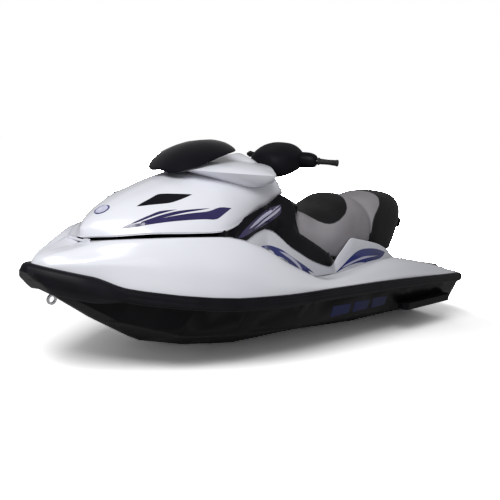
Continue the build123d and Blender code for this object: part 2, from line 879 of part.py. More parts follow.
def footwell_mat():
    outline = footwell(well_floor, -mat_inset) - centre_form(mat_inset) - console_form(mat_inset)
    floor = Pos(0, 0, well_floor + mat_thickness / 2) * Box(craft_length, 2 * craft_beam, mat_thickness)
    return largest(outline & floor)


# Instrument face on the back slope of the console, in front of the rider
gauge_thickness = 12.0
gauge_width = 150.0
gauge_height = 60.0


def gauge_display(carriers):
    x1, base1, top1, z1 = console_shares[-2]
    x2, base2, top2, z2 = console_shares[-1]
    slope = Vector(along(x2) - along(x1), 0, high(z2) - high(z1))
    centre = Vector(along(x1), 0, high(z1)) + slope * 0.5
    plane = Plane(origin=centre, x_dir=(0, 1, 0), z_dir=slope.cross(Vector(0, 1, 0)) * -1)
    face = extrude(plane * RectangleRounded(gauge_width, gauge_height, gauge_height / 4), amount=gauge_thickness, both=True)
    return largest(face - carriers)


# Front hinge of the hood
hinge_pin_radius = 6.0
hinge_knuckle_radius = 12.0
hinge_half_width = 70.0
hinge_knuckle_half_width = 44.0
hinge_arm_length = 46.0
hinge_arm_lift = 9.0
hinge_lug_foot = 24.0
hinge_lead = 16.0
hinge_drop = 8.0
hinge_place = (along(hood_shares[0][0]) + hinge_lead, high(hood_shares[0][2]) - hinge_drop)


def hinge_cylinder(radius, start, end):
    x, z = hinge_place
    plane = Plane(origin=(x, start, z), x_dir=(1, 0, 0), z_dir=(0, 1, 0))
    return extrude(plane * Circle(radius), amount=end - start)


def hinge_knuckle():
    """Knuckle and arm that join the hood's nose to the pin."""
    x, z = hinge_place
    knuckle = hinge_cylinder(hinge_knuckle_radius, -hinge_knuckle_half_width, hinge_knuckle_half_width)
    arm = Pos(x - hinge_arm_length / 2, 0, z + hinge_arm_lift) * Box(
        hinge_arm_length, 2 * hinge_knuckle_half_width, hinge_knuckle_radius
    )
    clear = hinge_pin_radius + bearing_clearance
    return (knuckle + arm) - hinge_cylinder(clear, -hinge_half_width, hinge_half_width)


def hinge_bracket(deck):
    """Pin with a lug each side, standing on the bow deck."""
    x, z = hinge_place
    pin = hinge_cylinder(hinge_pin_radius, -hinge_half_width, hinge_half_width)
    lug_width = hinge_half_width - hinge_knuckle_half_width - moving_gap
    lug_height = 2 * (hinge_knuckle_radius + hinge_lug_foot)
    lug = Pos(x, hinge_half_width - lug_width / 2, z + hinge_knuckle_radius - lug_height / 2) * Box(
        2 * hinge_knuckle_radius, lug_width, lug_height
    )
    return largest((pin + both_sides(lug)) - deck)


# Reverse lever on the starboard flank of the console: its hub's place, then sizes of hub and arm
shift_shares = (0.575, -0.500, 0.640)
shift_hub_radius = 22.0
shift_hub_length = 60.0
shift_arm_length = 110.0
shift_arm_width = 16.0
shift_arm_thickness = 10.0
shift_lean = -20.0


def shift_lever(carriers):
    x, y, z = along(shift_shares[0]), wide(shift_shares[1]) - panel_thickness, high(shift_shares[2])
    boss = Plane(origin=(x, y, z), x_dir=(1, 0, 0), z_dir=(0, 1, 0))
    hub = extrude(boss * Circle(shift_hub_radius), amount=shift_hub_length)
    arm = Pos(0, shift_arm_thickness / 2, shift_arm_length / 2) * Box(
        shift_arm_width, shift_arm_thickness, shift_arm_length
    )
    arm = Pos(x, y, z) * arm.rotate(Axis.Y, shift_lean)
    return largest((hub + arm) - carriers)


def write_hull_and_pump():
    pans = both_sides(footwell(well_floor - pan_wall, pan_wall))
    shaft_hole = cylinder_along_x(shaft_radius + bearing_clearance, pump_front, engine_middle)
    hull = hull_body() - pans - engine_block(engine_room) - tunnel() - intake_duct() - shaft_hole
    hull = largest(hull)
    write(hull, "hull")
    write(engine_block(), "engine")
    write_pair(sponson(hull), "sponson")
    write(largest(rope_eye(bow_eye_place, eye_bore_radius, eye_rod) - hull), "bow_eye")
    x = transom - stern_eye_bore_radius - stern_eye_gap
    y, z = wide(stern_eye_shares[0]), high(stern_eye_shares[1])
    stern_eye = largest(rope_eye((x, y, z), stern_eye_bore_radius, stern_eye_rod) - hull)
    write(both_sides(stern_eye), "stern_eyes")
    write(ride_plate(), "ride_plate")
    write(intake_grate(), "intake_grate")
    write(pump_housing(), "pump_housing")
    write(pump_nozzle(), "pump_nozzle")
    write(impeller(), "impeller")
    shaft_end = engine_middle - engine_length / 2 - seam
    write(cylinder_along_x(shaft_radius, pump_rear, shaft_end), "drive_shaft")
    write(jet_nozzle(), "jet_nozzle")
    write(reverse_bucket(), "reverse_bucket")
    return hull


def write_deck(hull):
    wells = both_sides(footwell(well_floor, 0))
    pans = both_sides(footwell(well_floor - pan_wall, pan_wall))
    skin = deck_body()
    deck = (skin + (pans & hull_body()) - wells) + (centre_form() + console_form())
    hood_room = hood_form(-lid_gap) + Pos(0, 0, -lid_gap) * hood_form(-lid_gap)
    lid_floor = high(lid_floor_share)
    lowest = Pos(0, 0, lid_floor + craft_height / 2) * Box(craft_length, 2 * craft_beam, craft_height)
    deck = deck - engine_block(engine_room) - storage_bin() - (hood_room & lowest) - hull
    deck = largest(deck)
    write(largest(deck - bow_half(deck_joint)), "deck")
    write(largest(deck & bow_half(deck_joint + seam)), "foredeck")
    write_pair(largest(footwell_mat() - deck), "footwell_mat")
    write(rear_mat(skin), "rear_deck_mat")
    return deck


def write_rails():
    rail = rub_rail()
    port = Pos(0, craft_beam, craft_height / 2) * Box(craft_length, 2 * craft_beam - seam, 2 * craft_height)
    write_pair(largest(rail & port), "rub_rail")
    write(bow_bumper(), "bow_bumper")


def write_hood(deck):
    shell, vent, pod = hood_parts()
    knuckle = hinge_knuckle()
    hood = largest(shell + knuckle)
    write(hood, "hood")
    write_pair(vent, "hood_vent")
    write_pair(largest(pod), "mirror_pod")
    write_pair(largest(mirror_glass()), "mirror_glass")
    write(visor(), "visor")
    write(hinge_bracket(deck), "hood_hinge")


def write_cockpit(deck):
    panel = side_panel(deck)
    write_pair(panel, "side_panel")
    write(gauge_display(deck), "gauge_display")
    write(steering_support(deck), "steering_support")
    write(shift_lever(deck + mirror(panel, about=Plane.XZ)), "shift_lever")
    frame, pad, grip, housing = steering_parts()
    write(frame, "handlebar")
    write(pad, "steering_pad")
    write_pair(grip, "grip")
    write_pair(housing, "switch_housing")
    write(throttle_lever(), "throttle_lever")
    panel_room = side_prism([(along(x), high(z)) for x, z in strip_shares], craft_beam)
    carriers = centre_form(seam) + console_form(seam)
    driver = seat_cushion(driver_shares, carriers + panel_room)
    passenger = seat_cushion(passenger_shares, carriers)
    write(driver, "driver_seat")
    write(passenger, "passenger_seat")
    write(grab_handle(), "grab_handle")


def main():
    hull = write_hull_and_pump()
    deck = write_deck(hull)
    write_rails()
    write_hood(deck)
    write_cockpit(deck)


main()
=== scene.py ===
import bpy
import json
import math
from mathutils import Matrix, Vector
from mathutils.bvhtree import BVHTree

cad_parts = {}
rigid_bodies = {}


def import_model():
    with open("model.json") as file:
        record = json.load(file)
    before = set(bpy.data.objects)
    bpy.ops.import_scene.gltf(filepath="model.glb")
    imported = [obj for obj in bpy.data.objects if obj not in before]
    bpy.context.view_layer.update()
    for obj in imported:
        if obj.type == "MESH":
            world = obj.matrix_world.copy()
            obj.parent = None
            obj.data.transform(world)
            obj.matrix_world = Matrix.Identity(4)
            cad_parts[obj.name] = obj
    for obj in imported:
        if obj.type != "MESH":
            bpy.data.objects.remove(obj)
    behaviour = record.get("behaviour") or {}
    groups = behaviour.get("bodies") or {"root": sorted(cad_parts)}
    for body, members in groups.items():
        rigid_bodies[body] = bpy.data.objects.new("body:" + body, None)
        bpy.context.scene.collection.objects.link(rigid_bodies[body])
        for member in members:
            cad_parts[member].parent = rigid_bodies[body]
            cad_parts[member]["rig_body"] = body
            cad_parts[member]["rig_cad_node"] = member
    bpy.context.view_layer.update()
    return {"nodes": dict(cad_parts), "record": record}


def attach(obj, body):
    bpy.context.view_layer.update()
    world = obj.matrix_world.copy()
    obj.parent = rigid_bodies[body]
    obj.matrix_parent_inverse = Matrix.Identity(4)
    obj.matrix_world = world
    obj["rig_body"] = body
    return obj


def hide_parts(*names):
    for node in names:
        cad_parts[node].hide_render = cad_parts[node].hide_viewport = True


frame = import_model()

# The craft's frame: X to the bow, Y to port, Z up, in metres. Lines below are measured from the stern.
stern = -1.610

# Camera at the photograph's place, ahead of the bow on the port side
camera_place = (3.2478, 2.5672, 1.1202)
camera_yaw = 3.8303
camera_pitch = -0.15
camera_roll = 0.0935
camera_lens = 51.19
camera_sensor = 36.0
camera_reach = 200.0

# Studio: strength of the air, then the floor's size, its tone for the light and what the camera sees of it, near and far
air_strength = 0.31
floor_size = 60.0
floor_tone = 0.55
floor_roughness = 0.9
floor_seen = 2.0
floor_seen_far = 60.0
floor_near, floor_far = 1.9, 4.5
lamps = (
    ("soft_key", (3.4, 1.7, 3.5), (0.5, 0.1, 0.5), (2.6, 2.0), 150.0),
    ("soft_side", (3.0, 4.2, 1.8), (0.9, 0.2, 0.4), (2.4, 1.6), 16.0),
)


def set_camera():
    pitch, yaw, roll = camera_pitch, camera_yaw, camera_roll
    look = Vector((math.cos(pitch) * math.cos(yaw), math.cos(pitch) * math.sin(yaw), math.sin(pitch)))
    right = look.cross(Vector((0, 0, 1))).normalized()
    up = right.cross(look)
    right_turned = right * math.cos(roll) + up * math.sin(roll)
    up_turned = up * math.cos(roll) - right * math.sin(roll)
    bpy.ops.object.camera_add()
    camera = bpy.context.object
    camera.name = "camera"
    turn = Matrix((right_turned, up_turned, -look)).transposed()
    camera.matrix_world = Matrix.Translation(camera_place) @ turn.to_4x4()
    camera.data.lens = camera_lens
    camera.data.sensor_width = camera_sensor
    camera.data.clip_end = camera_reach
    bpy.context.scene.camera = camera


def lamp(name, place, aim, size, power):
    bpy.ops.object.light_add(type="AREA", location=place)
    light = bpy.context.object
    light.name = name
    light.data.shape = "RECTANGLE"
    light.data.size, light.data.size_y = size
    light.data.energy = power
    light.rotation_euler = (Vector(aim) - Vector(place)).to_track_quat("-Z", "Y").to_euler()


def camera_only(tree, seen, otherwise):
    """Colour that the camera sees, and the one that lights the craft."""
    path = tree.nodes.new("ShaderNodeLightPath")
    mix = tree.nodes.new("ShaderNodeMix")
    mix.data_type = "RGBA"
    tree.links.new(path.outputs["Is Camera Ray"], mix.inputs["Factor"])
    mix.inputs["A"].default_value = (otherwise, otherwise, otherwise, 1)
    mix.inputs["B"].default_value = (seen, seen, seen, 1)
    return mix.outputs["Result"]


def studio():
    bpy.ops.mesh.primitive_plane_add(size=floor_size, location=(0, 0, 0))
    floor = bpy.context.object
    floor.name = "floor"
    surface = bpy.data.materials.new("pale_floor")
    surface.use_nodes = True
    base = surface.node_tree.nodes["Principled BSDF"]
    tree = surface.node_tree
    where = add(tree, "ShaderNodeTexCoord")
    reach = add(tree, "ShaderNodeVectorMath", operation="LENGTH")
    tree.links.new(where.outputs["Object"], reach.inputs[0])
    far = add(tree, "ShaderNodeMapRange", interpolation_type="SMOOTHSTEP")
    tree.links.new(reach.outputs["Value"], far.inputs["Value"])
    far.inputs["From Min"].default_value = floor_near
    far.inputs["From Max"].default_value = floor_far
    far.inputs["To Min"].default_value = floor_seen
    far.inputs["To Max"].default_value = floor_seen_far
    whole = add(tree, "ShaderNodeCombineColor")
    for socket in ("Red", "Green", "Blue"):
        tree.links.new(far.outputs["Result"], whole.inputs[socket])
    seen = camera_only(tree, floor_seen, floor_tone)
    tree.links.new(whole.outputs["Color"], seen.node.inputs["B"])
    tree.links.new(seen, base.inputs["Base Color"])
    base.inputs["Roughness"].default_value = floor_roughness
    base.inputs["Specular IOR Level"].default_value = 0.0
    floor.data.materials.append(surface)
    world = bpy.data.worlds.new("studio_air")
    world.use_nodes = True
    air = world.node_tree.nodes["Background"]
    world.node_tree.links.new(camera_only(world.node_tree, 1.0 / air_strength, 1.0), air.inputs["Color"])
    air.inputs["Strength"].default_value = air_strength
    bpy.context.scene.world = world
    for name, place, aim, size, power in lamps:
        lamp(name, place, aim, size, power)


# Shaping: how close points are to be joined, how thin a face is dropped, and a length beyond the craft
join_gap = 1e-5
mirror_gap = 1e-4
thin_face = 1e-6
far_off = 9.0


def let_go():
    if bpy.context.object and bpy.context.object.mode != "OBJECT":
        bpy.ops.object.mode_set(mode="OBJECT")
    bpy.ops.object.select_all(action="DESELECT")


def pick(piece):
    let_go()
    piece.select_set(True)
    bpy.context.view_layer.objects.active = piece


def settle(piece):
    """The piece's place and turn go into its mesh."""
    pick(piece)
    bpy.ops.object.transform_apply(location=True, rotation=True, scale=True)


def modify(piece, kind, **values):
    pick(piece)
    bpy.ops.object.modifier_add(type=kind)
    modifier = piece.modifiers[-1]
    for key, value in values.items():
        setattr(modifier, key, value)
    if kind == "SUBSURF":
        modifier.render_levels = modifier.levels
    bpy.ops.object.modifier_apply(modifier=modifier.name)


def blended(p0, p1, p2, p3, t):
    """Point between p1 and p2 on a smooth line through four points."""
    def gap(a, b):
        return max((b - a).length, 1e-6) ** 0.5
    t1 = gap(p0, p1)
    t2 = t1 + gap(p1, p2)
    t3 = t2 + gap(p2, p3)
    u = t1 + (t2 - t1) * t
    a1 = p0.lerp(p1, u / t1)
    a2 = p1.lerp(p2, (u - t1) / (t2 - t1))
    a3 = p2.lerp(p3, (u - t2) / (t3 - t2))
    b1 = a1.lerp(a2, u / t2)
    b2 = a2.lerp(a3, (u - t1) / (t3 - t1))
    return b1.lerp(b2, (u - t1) / (t2 - t1))


def faired(points, steps, corners=()):
    """Points on a smooth line through the given ones, which may turn sharply at the corners."""
    line = []
    last = len(points) - 1
    for i in range(last):
        p1, p2 = points[i], points[i + 1]
        p0 = points[i - 1] if i > 0 and i not in corners else p1 * 2 - p2
        p3 = points[i + 2] if i + 1 < last and i + 1 not in corners else p2 * 2 - p1
        line += [blended(p0, p1, p2, p3, s / steps) for s in range(steps)]
    return line + [points[last]]


def skin(name, rows, across=3, lengthwise=4, corners=(), breaks=(), mirrored=True):
    """Smooth panel through rows of points. Corners are columns with a sharp turn, breaks are rows with one."""
    rows = [faired([Vector(p) for p in row], across, corners) for row in rows]
    lines = [faired(list(line), lengthwise, breaks) for line in zip(*rows)]
    columns, count = len(lines), len(lines[0])
    let_go()
    bpy.ops.mesh.primitive_grid_add(x_subdivisions=count - 1, y_subdivisions=columns - 1, size=1.0)
    piece = bpy.context.object
    piece.name = name
    piece.data.name = name
    for j, line in enumerate(lines):
        for i, place in enumerate(line):
            piece.data.vertices[j * count + i].co = place
    if mirrored:
        modify(piece, "MIRROR", use_axis=(False, True, False), merge_threshold=mirror_gap)
    close_up(piece)
    return piece


def close_up(piece, outside=True):
    """Joins the points that meet, and turns the faces outwards."""
    pick(piece)
    bpy.ops.object.mode_set(mode="EDIT")
    bpy.ops.mesh.select_all(action="SELECT")
    bpy.ops.mesh.remove_doubles(threshold=join_gap)
    bpy.ops.mesh.dissolve_degenerate(threshold=thin_face)
    if outside:
        bpy.ops.mesh.select_all(action="SELECT")
        bpy.ops.mesh.normals_make_consistent(inside=False)
    bpy.ops.object.mode_set(mode="OBJECT")


def fill_ends(piece):
    pick(piece)
    bpy.ops.object.mode_set(mode="EDIT")
    bpy.ops.mesh.select_all(action="SELECT")
    bpy.ops.mesh.fill_holes(sides=0)
    bpy.ops.mesh.select_all(action="SELECT")
    bpy.ops.mesh.normals_make_consistent(inside=False)
    bpy.ops.object.mode_set(mode="OBJECT")


def soft_shade(piece, angle=35.0):
    pick(piece)
    bpy.ops.object.shade_smooth_by_angle(angle=math.radians(angle))


def dress(piece, material, body="root", stands_for=(), angle=35.0):
    """Last step for every piece: shading, finish, body and the nodes that it stands for."""
    settle(piece)
    soft_shade(piece, angle)
    piece.data.materials.clear()
    piece.data.materials.append(material)
    if stands_for:
        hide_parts(*stands_for)
    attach(piece, body)
    return piece


def copied(node, name):
    """Copy of a CAD node's mesh, with its loose triangles joined."""
    pick(frame["nodes"][node])
    bpy.ops.object.duplicate()
    piece = bpy.context.object
    piece.name = name
    piece.parent = None
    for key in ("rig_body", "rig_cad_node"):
        if key in piece:
            del piece[key]
    close_up(piece, outside=False)
    return piece


def kept_inside(piece, cutter):
    """Leaves only what lies inside the cutter, which then goes."""
    modify(piece, "BOOLEAN", object=cutter, operation="INTERSECT", solver="EXACT")
    bpy.data.objects.remove(cutter)


# Finishes. Scales are cells to a metre, depths are in metres.
coat_roughness = 0.10
tone_cells = 5.0
gloss_cells = 24.0
grain_depth = 0.0006
vinyl_cells = 380.0
welt_width = 0.004
welt_depth = 0.004
colour_blur = 0.0008
seam_tone = (0.02, 0.02, 0.022)
rib_depth = 0.0015


def nodes_of(name):
    material = bpy.data.materials.new(name)
    material.use_nodes = True
    tree = material.node_tree
    return material, tree, tree.nodes["Principled BSDF"]


def add(tree, kind, **values):
    node = tree.nodes.new(kind)
    for key, value in values.items():
        if hasattr(node, key):
            setattr(node, key, value)
        else:
            node.inputs[key.replace("_", " ")].default_value = value
    return node


def place_of(tree, scale=(1, 1, 1)):
    where = add(tree, "ShaderNodeTexCoord")
    mapping = add(tree, "ShaderNodeMapping")
    mapping.inputs["Scale"].default_value = scale
    tree.links.new(where.outputs["Object"], mapping.inputs["Vector"])
    return mapping.outputs["Vector"]


def noise(tree, place, scale, detail=3.0):
    node = add(tree, "ShaderNodeTexNoise", Scale=scale, Detail=detail)
    tree.links.new(place, node.inputs["Vector"])
    return node.outputs["Fac"]


def between(tree, value, low, high):
    node = add(tree, "ShaderNodeMapRange")
    tree.links.new(value, node.inputs["Value"])
    node.inputs["To Min"].default_value = low
    node.inputs["To Max"].default_value = high
    return node.outputs["Result"]


def tint(tree, value, dark, light, start=0.3, end=0.7):
    ramp = add(tree, "ShaderNodeValToRGB")
    ramp.color_ramp.elements[0].position = start
    ramp.color_ramp.elements[1].position = end
    ramp.color_ramp.elements[0].color = (*dark, 1)
    ramp.color_ramp.elements[1].color = (*light, 1)
    tree.links.new(value, ramp.inputs["Fac"])
    return ramp.outputs["Color"]


def relief(tree, shader, height, strength, distance):
    bump = add(tree, "ShaderNodeBump", Strength=strength, Distance=distance)
    tree.links.new(height, bump.inputs["Height"])
    tree.links.new(bump.outputs["Normal"], shader.inputs["Normal"])


def finish(name, dark, light, rough=(0.3, 0.4), tone_scale=6.0, grain=None, coat=0.0, metal=0.0, specular=0.5,
           stretch=(1, 1, 1)):
    """Finish with a slow change of tone, a varied gloss and a fine grain: (scale, strength, depth)."""
    material, tree, shader = nodes_of(name)
    place = place_of(tree, stretch)
    tone = noise(tree, place, tone_scale)
    tree.links.new(tint(tree, tone, dark, light), shader.inputs["Base Color"])
    tree.links.new(between(tree, noise(tree, place, tone_scale * 4.0), *rough), shader.inputs["Roughness"])
    shader.inputs["Metallic"].default_value = metal
    shader.inputs["Coat Weight"].default_value = coat
    shader.inputs["Coat Roughness"].default_value = coat_roughness
    shader.inputs["Specular IOR Level"].default_value = specular
    if grain:
        scale, strength, depth = grain
        relief(tree, shader, noise(tree, place, scale, 2.0), strength, depth)
    return material


def pebbled(name, dark, light, cell, rough=(0.45, 0.6), strength=0.35, sheen=0.1, specular=0.35):
    """Grained vinyl or moulded plastic: small cells with soft hollows between them."""
    material, tree, shader = nodes_of(name)
    place = place_of(tree)
    cells = add(tree, "ShaderNodeTexVoronoi", Scale=cell)
    tree.links.new(place, cells.inputs["Vector"])
    tree.links.new(tint(tree, noise(tree, place, tone_cells), dark, light), shader.inputs["Base Color"])
    tree.links.new(between(tree, noise(tree, place, gloss_cells), *rough), shader.inputs["Roughness"])
    shader.inputs["Sheen Weight"].default_value = sheen
    shader.inputs["Specular IOR Level"].default_value = specular
    relief(tree, shader, cells.outputs["Distance"], strength, grain_depth)
    return material


def two_tone(name, inner, outer):
    """Stitched vinyl in two colours: the stored distance parts them, with a dark welt along the line."""
    material, tree, shader = nodes_of(name)
    place = place_of(tree)
    lining = add(tree, "ShaderNodeAttribute", attribute_name="patch")
    edge = add(tree, "ShaderNodeMapRange")
    edge.inputs["From Min"].default_value = -colour_blur
    edge.inputs["From Max"].default_value = colour_blur
    tree.links.new(lining.outputs["Fac"], edge.inputs["Value"])
    mix = add(tree, "ShaderNodeMix", data_type="RGBA")
    tree.links.new(edge.outputs["Result"], mix.inputs["Factor"])
    tone = noise(tree, place, 6.0)
    for socket, (dark, light) in (("A", outer), ("B", inner)):
        tree.links.new(tint(tree, tone, dark, light), mix.inputs[socket])
    away = add(tree, "ShaderNodeMath", operation="ABSOLUTE")
    tree.links.new(lining.outputs["Fac"], away.inputs[0])
    welt = add(tree, "ShaderNodeMapRange", interpolation_type="SMOOTHSTEP")
    welt.inputs["From Min"].default_value = 0.0
    welt.inputs["From Max"].default_value = welt_width
    tree.links.new(away.outputs["Value"], welt.inputs["Value"])
    line = add(tree, "ShaderNodeMix", data_type="RGBA")
    tree.links.new(welt.outputs["Result"], line.inputs["Factor"])
    line.inputs["A"].default_value = (*seam_tone, 1)
    tree.links.new(mix.outputs["Result"], line.inputs["B"])
    tree.links.new(line.outputs["Result"], shader.inputs["Base Color"])
    cells = add(tree, "ShaderNodeTexVoronoi", Scale=vinyl_cells)
    tree.links.new(place, cells.inputs["Vector"])
    grain = add(tree, "ShaderNodeMath", operation="MULTIPLY_ADD")
    tree.links.new(cells.outputs["Distance"], grain.inputs[0])
    grain.inputs[1].default_value = 0.12
    tree.links.new(welt.outputs["Result"], grain.inputs[2])
    tree.links.new(between(tree, noise(tree, place, gloss_cells), 0.42, 0.56), shader.inputs["Roughness"])
    shader.inputs["Specular IOR Level"].default_value = 0.25
    relief(tree, shader, grain.outputs["Value"], 0.6, welt_depth)
    return material


def ribbed(name, dark, light, pitch, turn=0.0, rough=(0.6, 0.75), strength=0.6, crossed=True):
    """Mat or grip with fine ribs, crossed into diamonds where asked, with painted shade in the hollows between the
    ribs.
    """
    material, tree, shader = nodes_of(name)
    where = add(tree, "ShaderNodeTexCoord")
    heights = []
    for side in ((1, -1) if crossed else (1,)):
        mapping = add(tree, "ShaderNodeMapping")
        mapping.inputs["Rotation"].default_value = (0, 0, turn * side)
        tree.links.new(where.outputs["Object"], mapping.inputs["Vector"])
        wave = add(tree, "ShaderNodeTexWave", Scale=pitch)
        wave.bands_direction = "X"
        tree.links.new(mapping.outputs["Vector"], wave.inputs["Vector"])
        heights.append(wave.outputs["Fac"])
    height = heights[0]
    if crossed:
        least = add(tree, "ShaderNodeMath", operation="MULTIPLY")
        tree.links.new(heights[0], least.inputs[0])
        tree.links.new(heights[1], least.inputs[1])
        height = least.outputs["Value"]
    # Painted shade: the colour is darker in the hollows between the ribs and lighter on their crests.
    tree.links.new(tint(tree, height, dark, light, 0.1, 0.8), shader.inputs["Base Color"])
    tree.links.new(between(tree, noise(tree, where.outputs["Object"], 18.0), *rough), shader.inputs["Roughness"])
    relief(tree, shader, height, strength, rib_depth)
    return material


film_gloss = (0.16, 0.24)
film_grain = (120.0, 0.02, 0.0005)
navy = finish("navy_film", (0.010, 0.008, 0.055), (0.020, 0.014, 0.090), film_gloss, 3.0, film_grain, coat=0.4)
purple = finish("purple_film", (0.014, 0.008, 0.060), (0.030, 0.016, 0.100), film_gloss, 3.0, film_grain, coat=0.4)
blue = finish("blue_film", (0.006, 0.010, 0.110), (0.012, 0.022, 0.200), film_gloss, 3.0, film_grain, coat=0.4)
deep_blue = finish("deep_blue_film", (0.002, 0.004, 0.045), (0.003, 0.008, 0.075), (0.26, 0.36), 3.0, film_grain,
                   specular=0.10)
pale = finish("pale_film", (0.50, 0.50, 0.66), (0.60, 0.60, 0.74), film_gloss, 3.0, film_grain, coat=0.4)
gelcoat = finish("white_gelcoat", (0.70, 0.71, 0.77), (0.73, 0.74, 0.79), (0.20, 0.28), 2.0, (90.0, 0.02, 0.001),
                 coat=0.25)
hull_gloss = finish("black_hull_gelcoat", (0.003, 0.003, 0.004), (0.006, 0.006, 0.007), (0.25, 0.36), 3.0,
                    (60.0, 0.03, 0.001), specular=0.05)
rubber = finish("bumper_rubber", (0.005, 0.005, 0.007), (0.009, 0.009, 0.012), (0.36, 0.48), 9.0,
                (320.0, 0.12, 0.001), specular=0.10)
trim = pebbled("moulded_trim", (0.004, 0.004, 0.005), (0.008, 0.008, 0.010), 700.0, (0.34, 0.46), 0.2, 0.0, 0.07)
gloss_trim = finish("gloss_black_trim", (0.004, 0.004, 0.006), (0.008, 0.008, 0.011), (0.10, 0.18), 4.0,
                    (80.0, 0.02, 0.001), specular=0.06)
padding = pebbled("steering_padding", (0.005, 0.005, 0.007), (0.010, 0.010, 0.013), 420.0, (0.45, 0.58), 0.4, 0.01,
                  0.07)
grey_vinyl = pebbled("grey_vinyl", (0.30, 0.28, 0.305), (0.36, 0.34, 0.365), 380.0, (0.42, 0.55), 0.35, 0.2)
grey_tones = ((0.26, 0.245, 0.265), (0.31, 0.295, 0.315))
black_tones = ((0.003, 0.003, 0.004), (0.006, 0.006, 0.007))
driver_vinyl = two_tone("driver_vinyl", black_tones, grey_tones)
passenger_vinyl = two_tone("passenger_vinyl", grey_tones, black_tones)
matting = ribbed("embossed_mat", (0.010, 0.010, 0.012), (0.028, 0.028, 0.032), 22.0, math.radians(28), strength=0.8)
gripping = ribbed("grip_rubber", (0.003, 0.003, 0.004), (0.007, 0.007, 0.008), 60.0, math.radians(35), strength=0.6)
alloy = finish("cast_alloy", (0.40, 0.41, 0.43), (0.52, 0.53, 0.55), (0.32, 0.5), 14.0, (180.0, 0.15, 0.001),
               metal=1.0)
steel = finish("polished_steel", (0.55, 0.56, 0.58), (0.66, 0.67, 0.69), (0.15, 0.28), 20.0, (240.0, 0.04, 0.001),
               metal=1.0, stretch=(1, 8, 1))
block_iron = finish("engine_iron", (0.10, 0.10, 0.10), (0.16, 0.16, 0.16), (0.5, 0.7), 12.0, (90.0, 0.3, 0.002),
                    metal=0.6)
mirror_face = finish("mirror_face", (0.72, 0.74, 0.78), (0.76, 0.78, 0.82), (0.02, 0.05), 3.0, metal=1.0)
display_face = finish("display_face", (0.010, 0.014, 0.018), (0.018, 0.022, 0.028), (0.06, 0.12), 8.0, coat=0.8)

# Lines of the deck. Place from the stern, side half width, rail height, side height, crest, lip and inner points.
deck_rows = [
    (0.026, 0.540, 0.312, 0.334, (0.507, 0.344), (0.440, 0.347), (0.295, 0.348), 0.346),
    (0.160, 0.549, 0.319, 0.350, (0.492, 0.372), (0.436, 0.373), (0.295, 0.370), 0.366),
    (0.300, 0.556, 0.327, 0.366, (0.481, 0.402), (0.434, 0.402), (0.295, 0.395), 0.382),
    (0.600, 0.565, 0.340, 0.396, (0.476, 0.456), (0.431, 0.456), (0.295, 0.448), 0.430),
    (0.930, 0.566, 0.352, 0.416, (0.472, 0.490), (0.430, 0.490), (0.295, 0.482), 0.470),
    (1.250, 0.566, 0.360, 0.412, (0.481, 0.462), (0.436, 0.461), (0.295, 0.458), 0.455),
    (1.460, 0.565, 0.364, 0.410, (0.485, 0.441), (0.440, 0.441), (0.295, 0.440), 0.440),
    (1.700, 0.563, 0.367, 0.414, (0.487, 0.434), (0.442, 0.437), (0.295, 0.440), 0.450),
    (1.870, 0.560, 0.367, 0.434, (0.481, 0.488), (0.438, 0.492), (0.295, 0.497), 0.508),
    (2.000, 0.554, 0.367, 0.455, (0.468, 0.538), (0.430, 0.548), (0.295, 0.566), 0.570),
    (2.110, 0.541, 0.367, 0.473, (0.451, 0.589), (0.415, 0.602), (0.295, 0.628), 0.640),
    (2.250, 0.516, 0.366, 0.502, (0.420, 0.640), (0.390, 0.648), (0.315, 0.655), 0.660),
    (2.370, 0.486, 0.368, 0.526, (0.3835, 0.666), (0.370, 0.668), (0.358, 0.668), 0.670),
    (2.500, 0.443, 0.375, 0.541, (0.354, 0.669), (0.343, 0.670), (0.331, 0.668), 0.672),
    (2.650, 0.380, 0.388, 0.553, (0.312, 0.664), (0.300, 0.666), (0.283, 0.665), 0.665),
    (2.800, 0.301, 0.407, 0.558, (0.246, 0.652), (0.215, 0.655), (0.172, 0.645), 0.640),
    (2.935, 0.216, 0.428, 0.560, (0.146, 0.632), (0.090, 0.628), (0.014, 0.618), 0.612),
    (3.030, 0.158, 0.447, 0.552, (0.094, 0.598), (0.057, 0.598), (0.020, 0.596), 0.595),
    (3.100, 0.098, 0.462, 0.538, (0.056, 0.576), (0.032, 0.578), (0.012, 0.579), 0.579),
    (3.145, 0.050, 0.472, 0.520, (0.028, 0.554), (0.016, 0.556), (0.006, 0.557), 0.557),
    (3.174, 0.003, 0.479, 0.495, (0.002, 0.512), (0.0015, 0.515), (0.001, 0.516), 0.516),
]


def out(x, *pairs):
    """Points at one place along the craft, measured from the stern."""
    return [(x + stern, y, z) for y, z in pairs]


# Side of the deck: its foot behind the rail as (out, up), the place where it turns in, and how far it bulges there
side_foot = ((-0.003, -0.015), (-0.001, 0.020), (-0.003, 0.012))
shoulder_share = 0.972
side_bulge = (0.007, 0.008)
full_side = 0.56


def deck_side():
    (low_out, low_up), (mid_out, mid_up), (top_out, top_up) = side_foot
    rows = []
    for x, side, rail, side_z, crest, lip, inner, middle in deck_rows:
        shoulder = side * shoulder_share
        bulge = ((shoulder + crest[0]) / 2 + side_bulge[0] * side / full_side,
                 (side_z + crest[1]) / 2 + side_bulge[1] * side / full_side)
        rows.append(out(x, (side + low_out, rail + low_up), (side + mid_out, rail + mid_up),
                        (side + top_out, (rail + side_z) / 2 + top_up), (shoulder, side_z), bulge, crest, lip))
    return skin("deck_side", rows, 3, 4)


# Panels inside the lip tuck under it by this much. The rear deck ends where the footwells start.
tuck_out, tuck_down = 0.004, 0.001
rear_deck_end = 0.200
rear_crown = (0.15, 0.001)
rim_start = (1.958, (0.008, -0.020), (0.330, 0.545), (0.300, 0.545), (0.296, 0.510))
rim_wall = 0.045


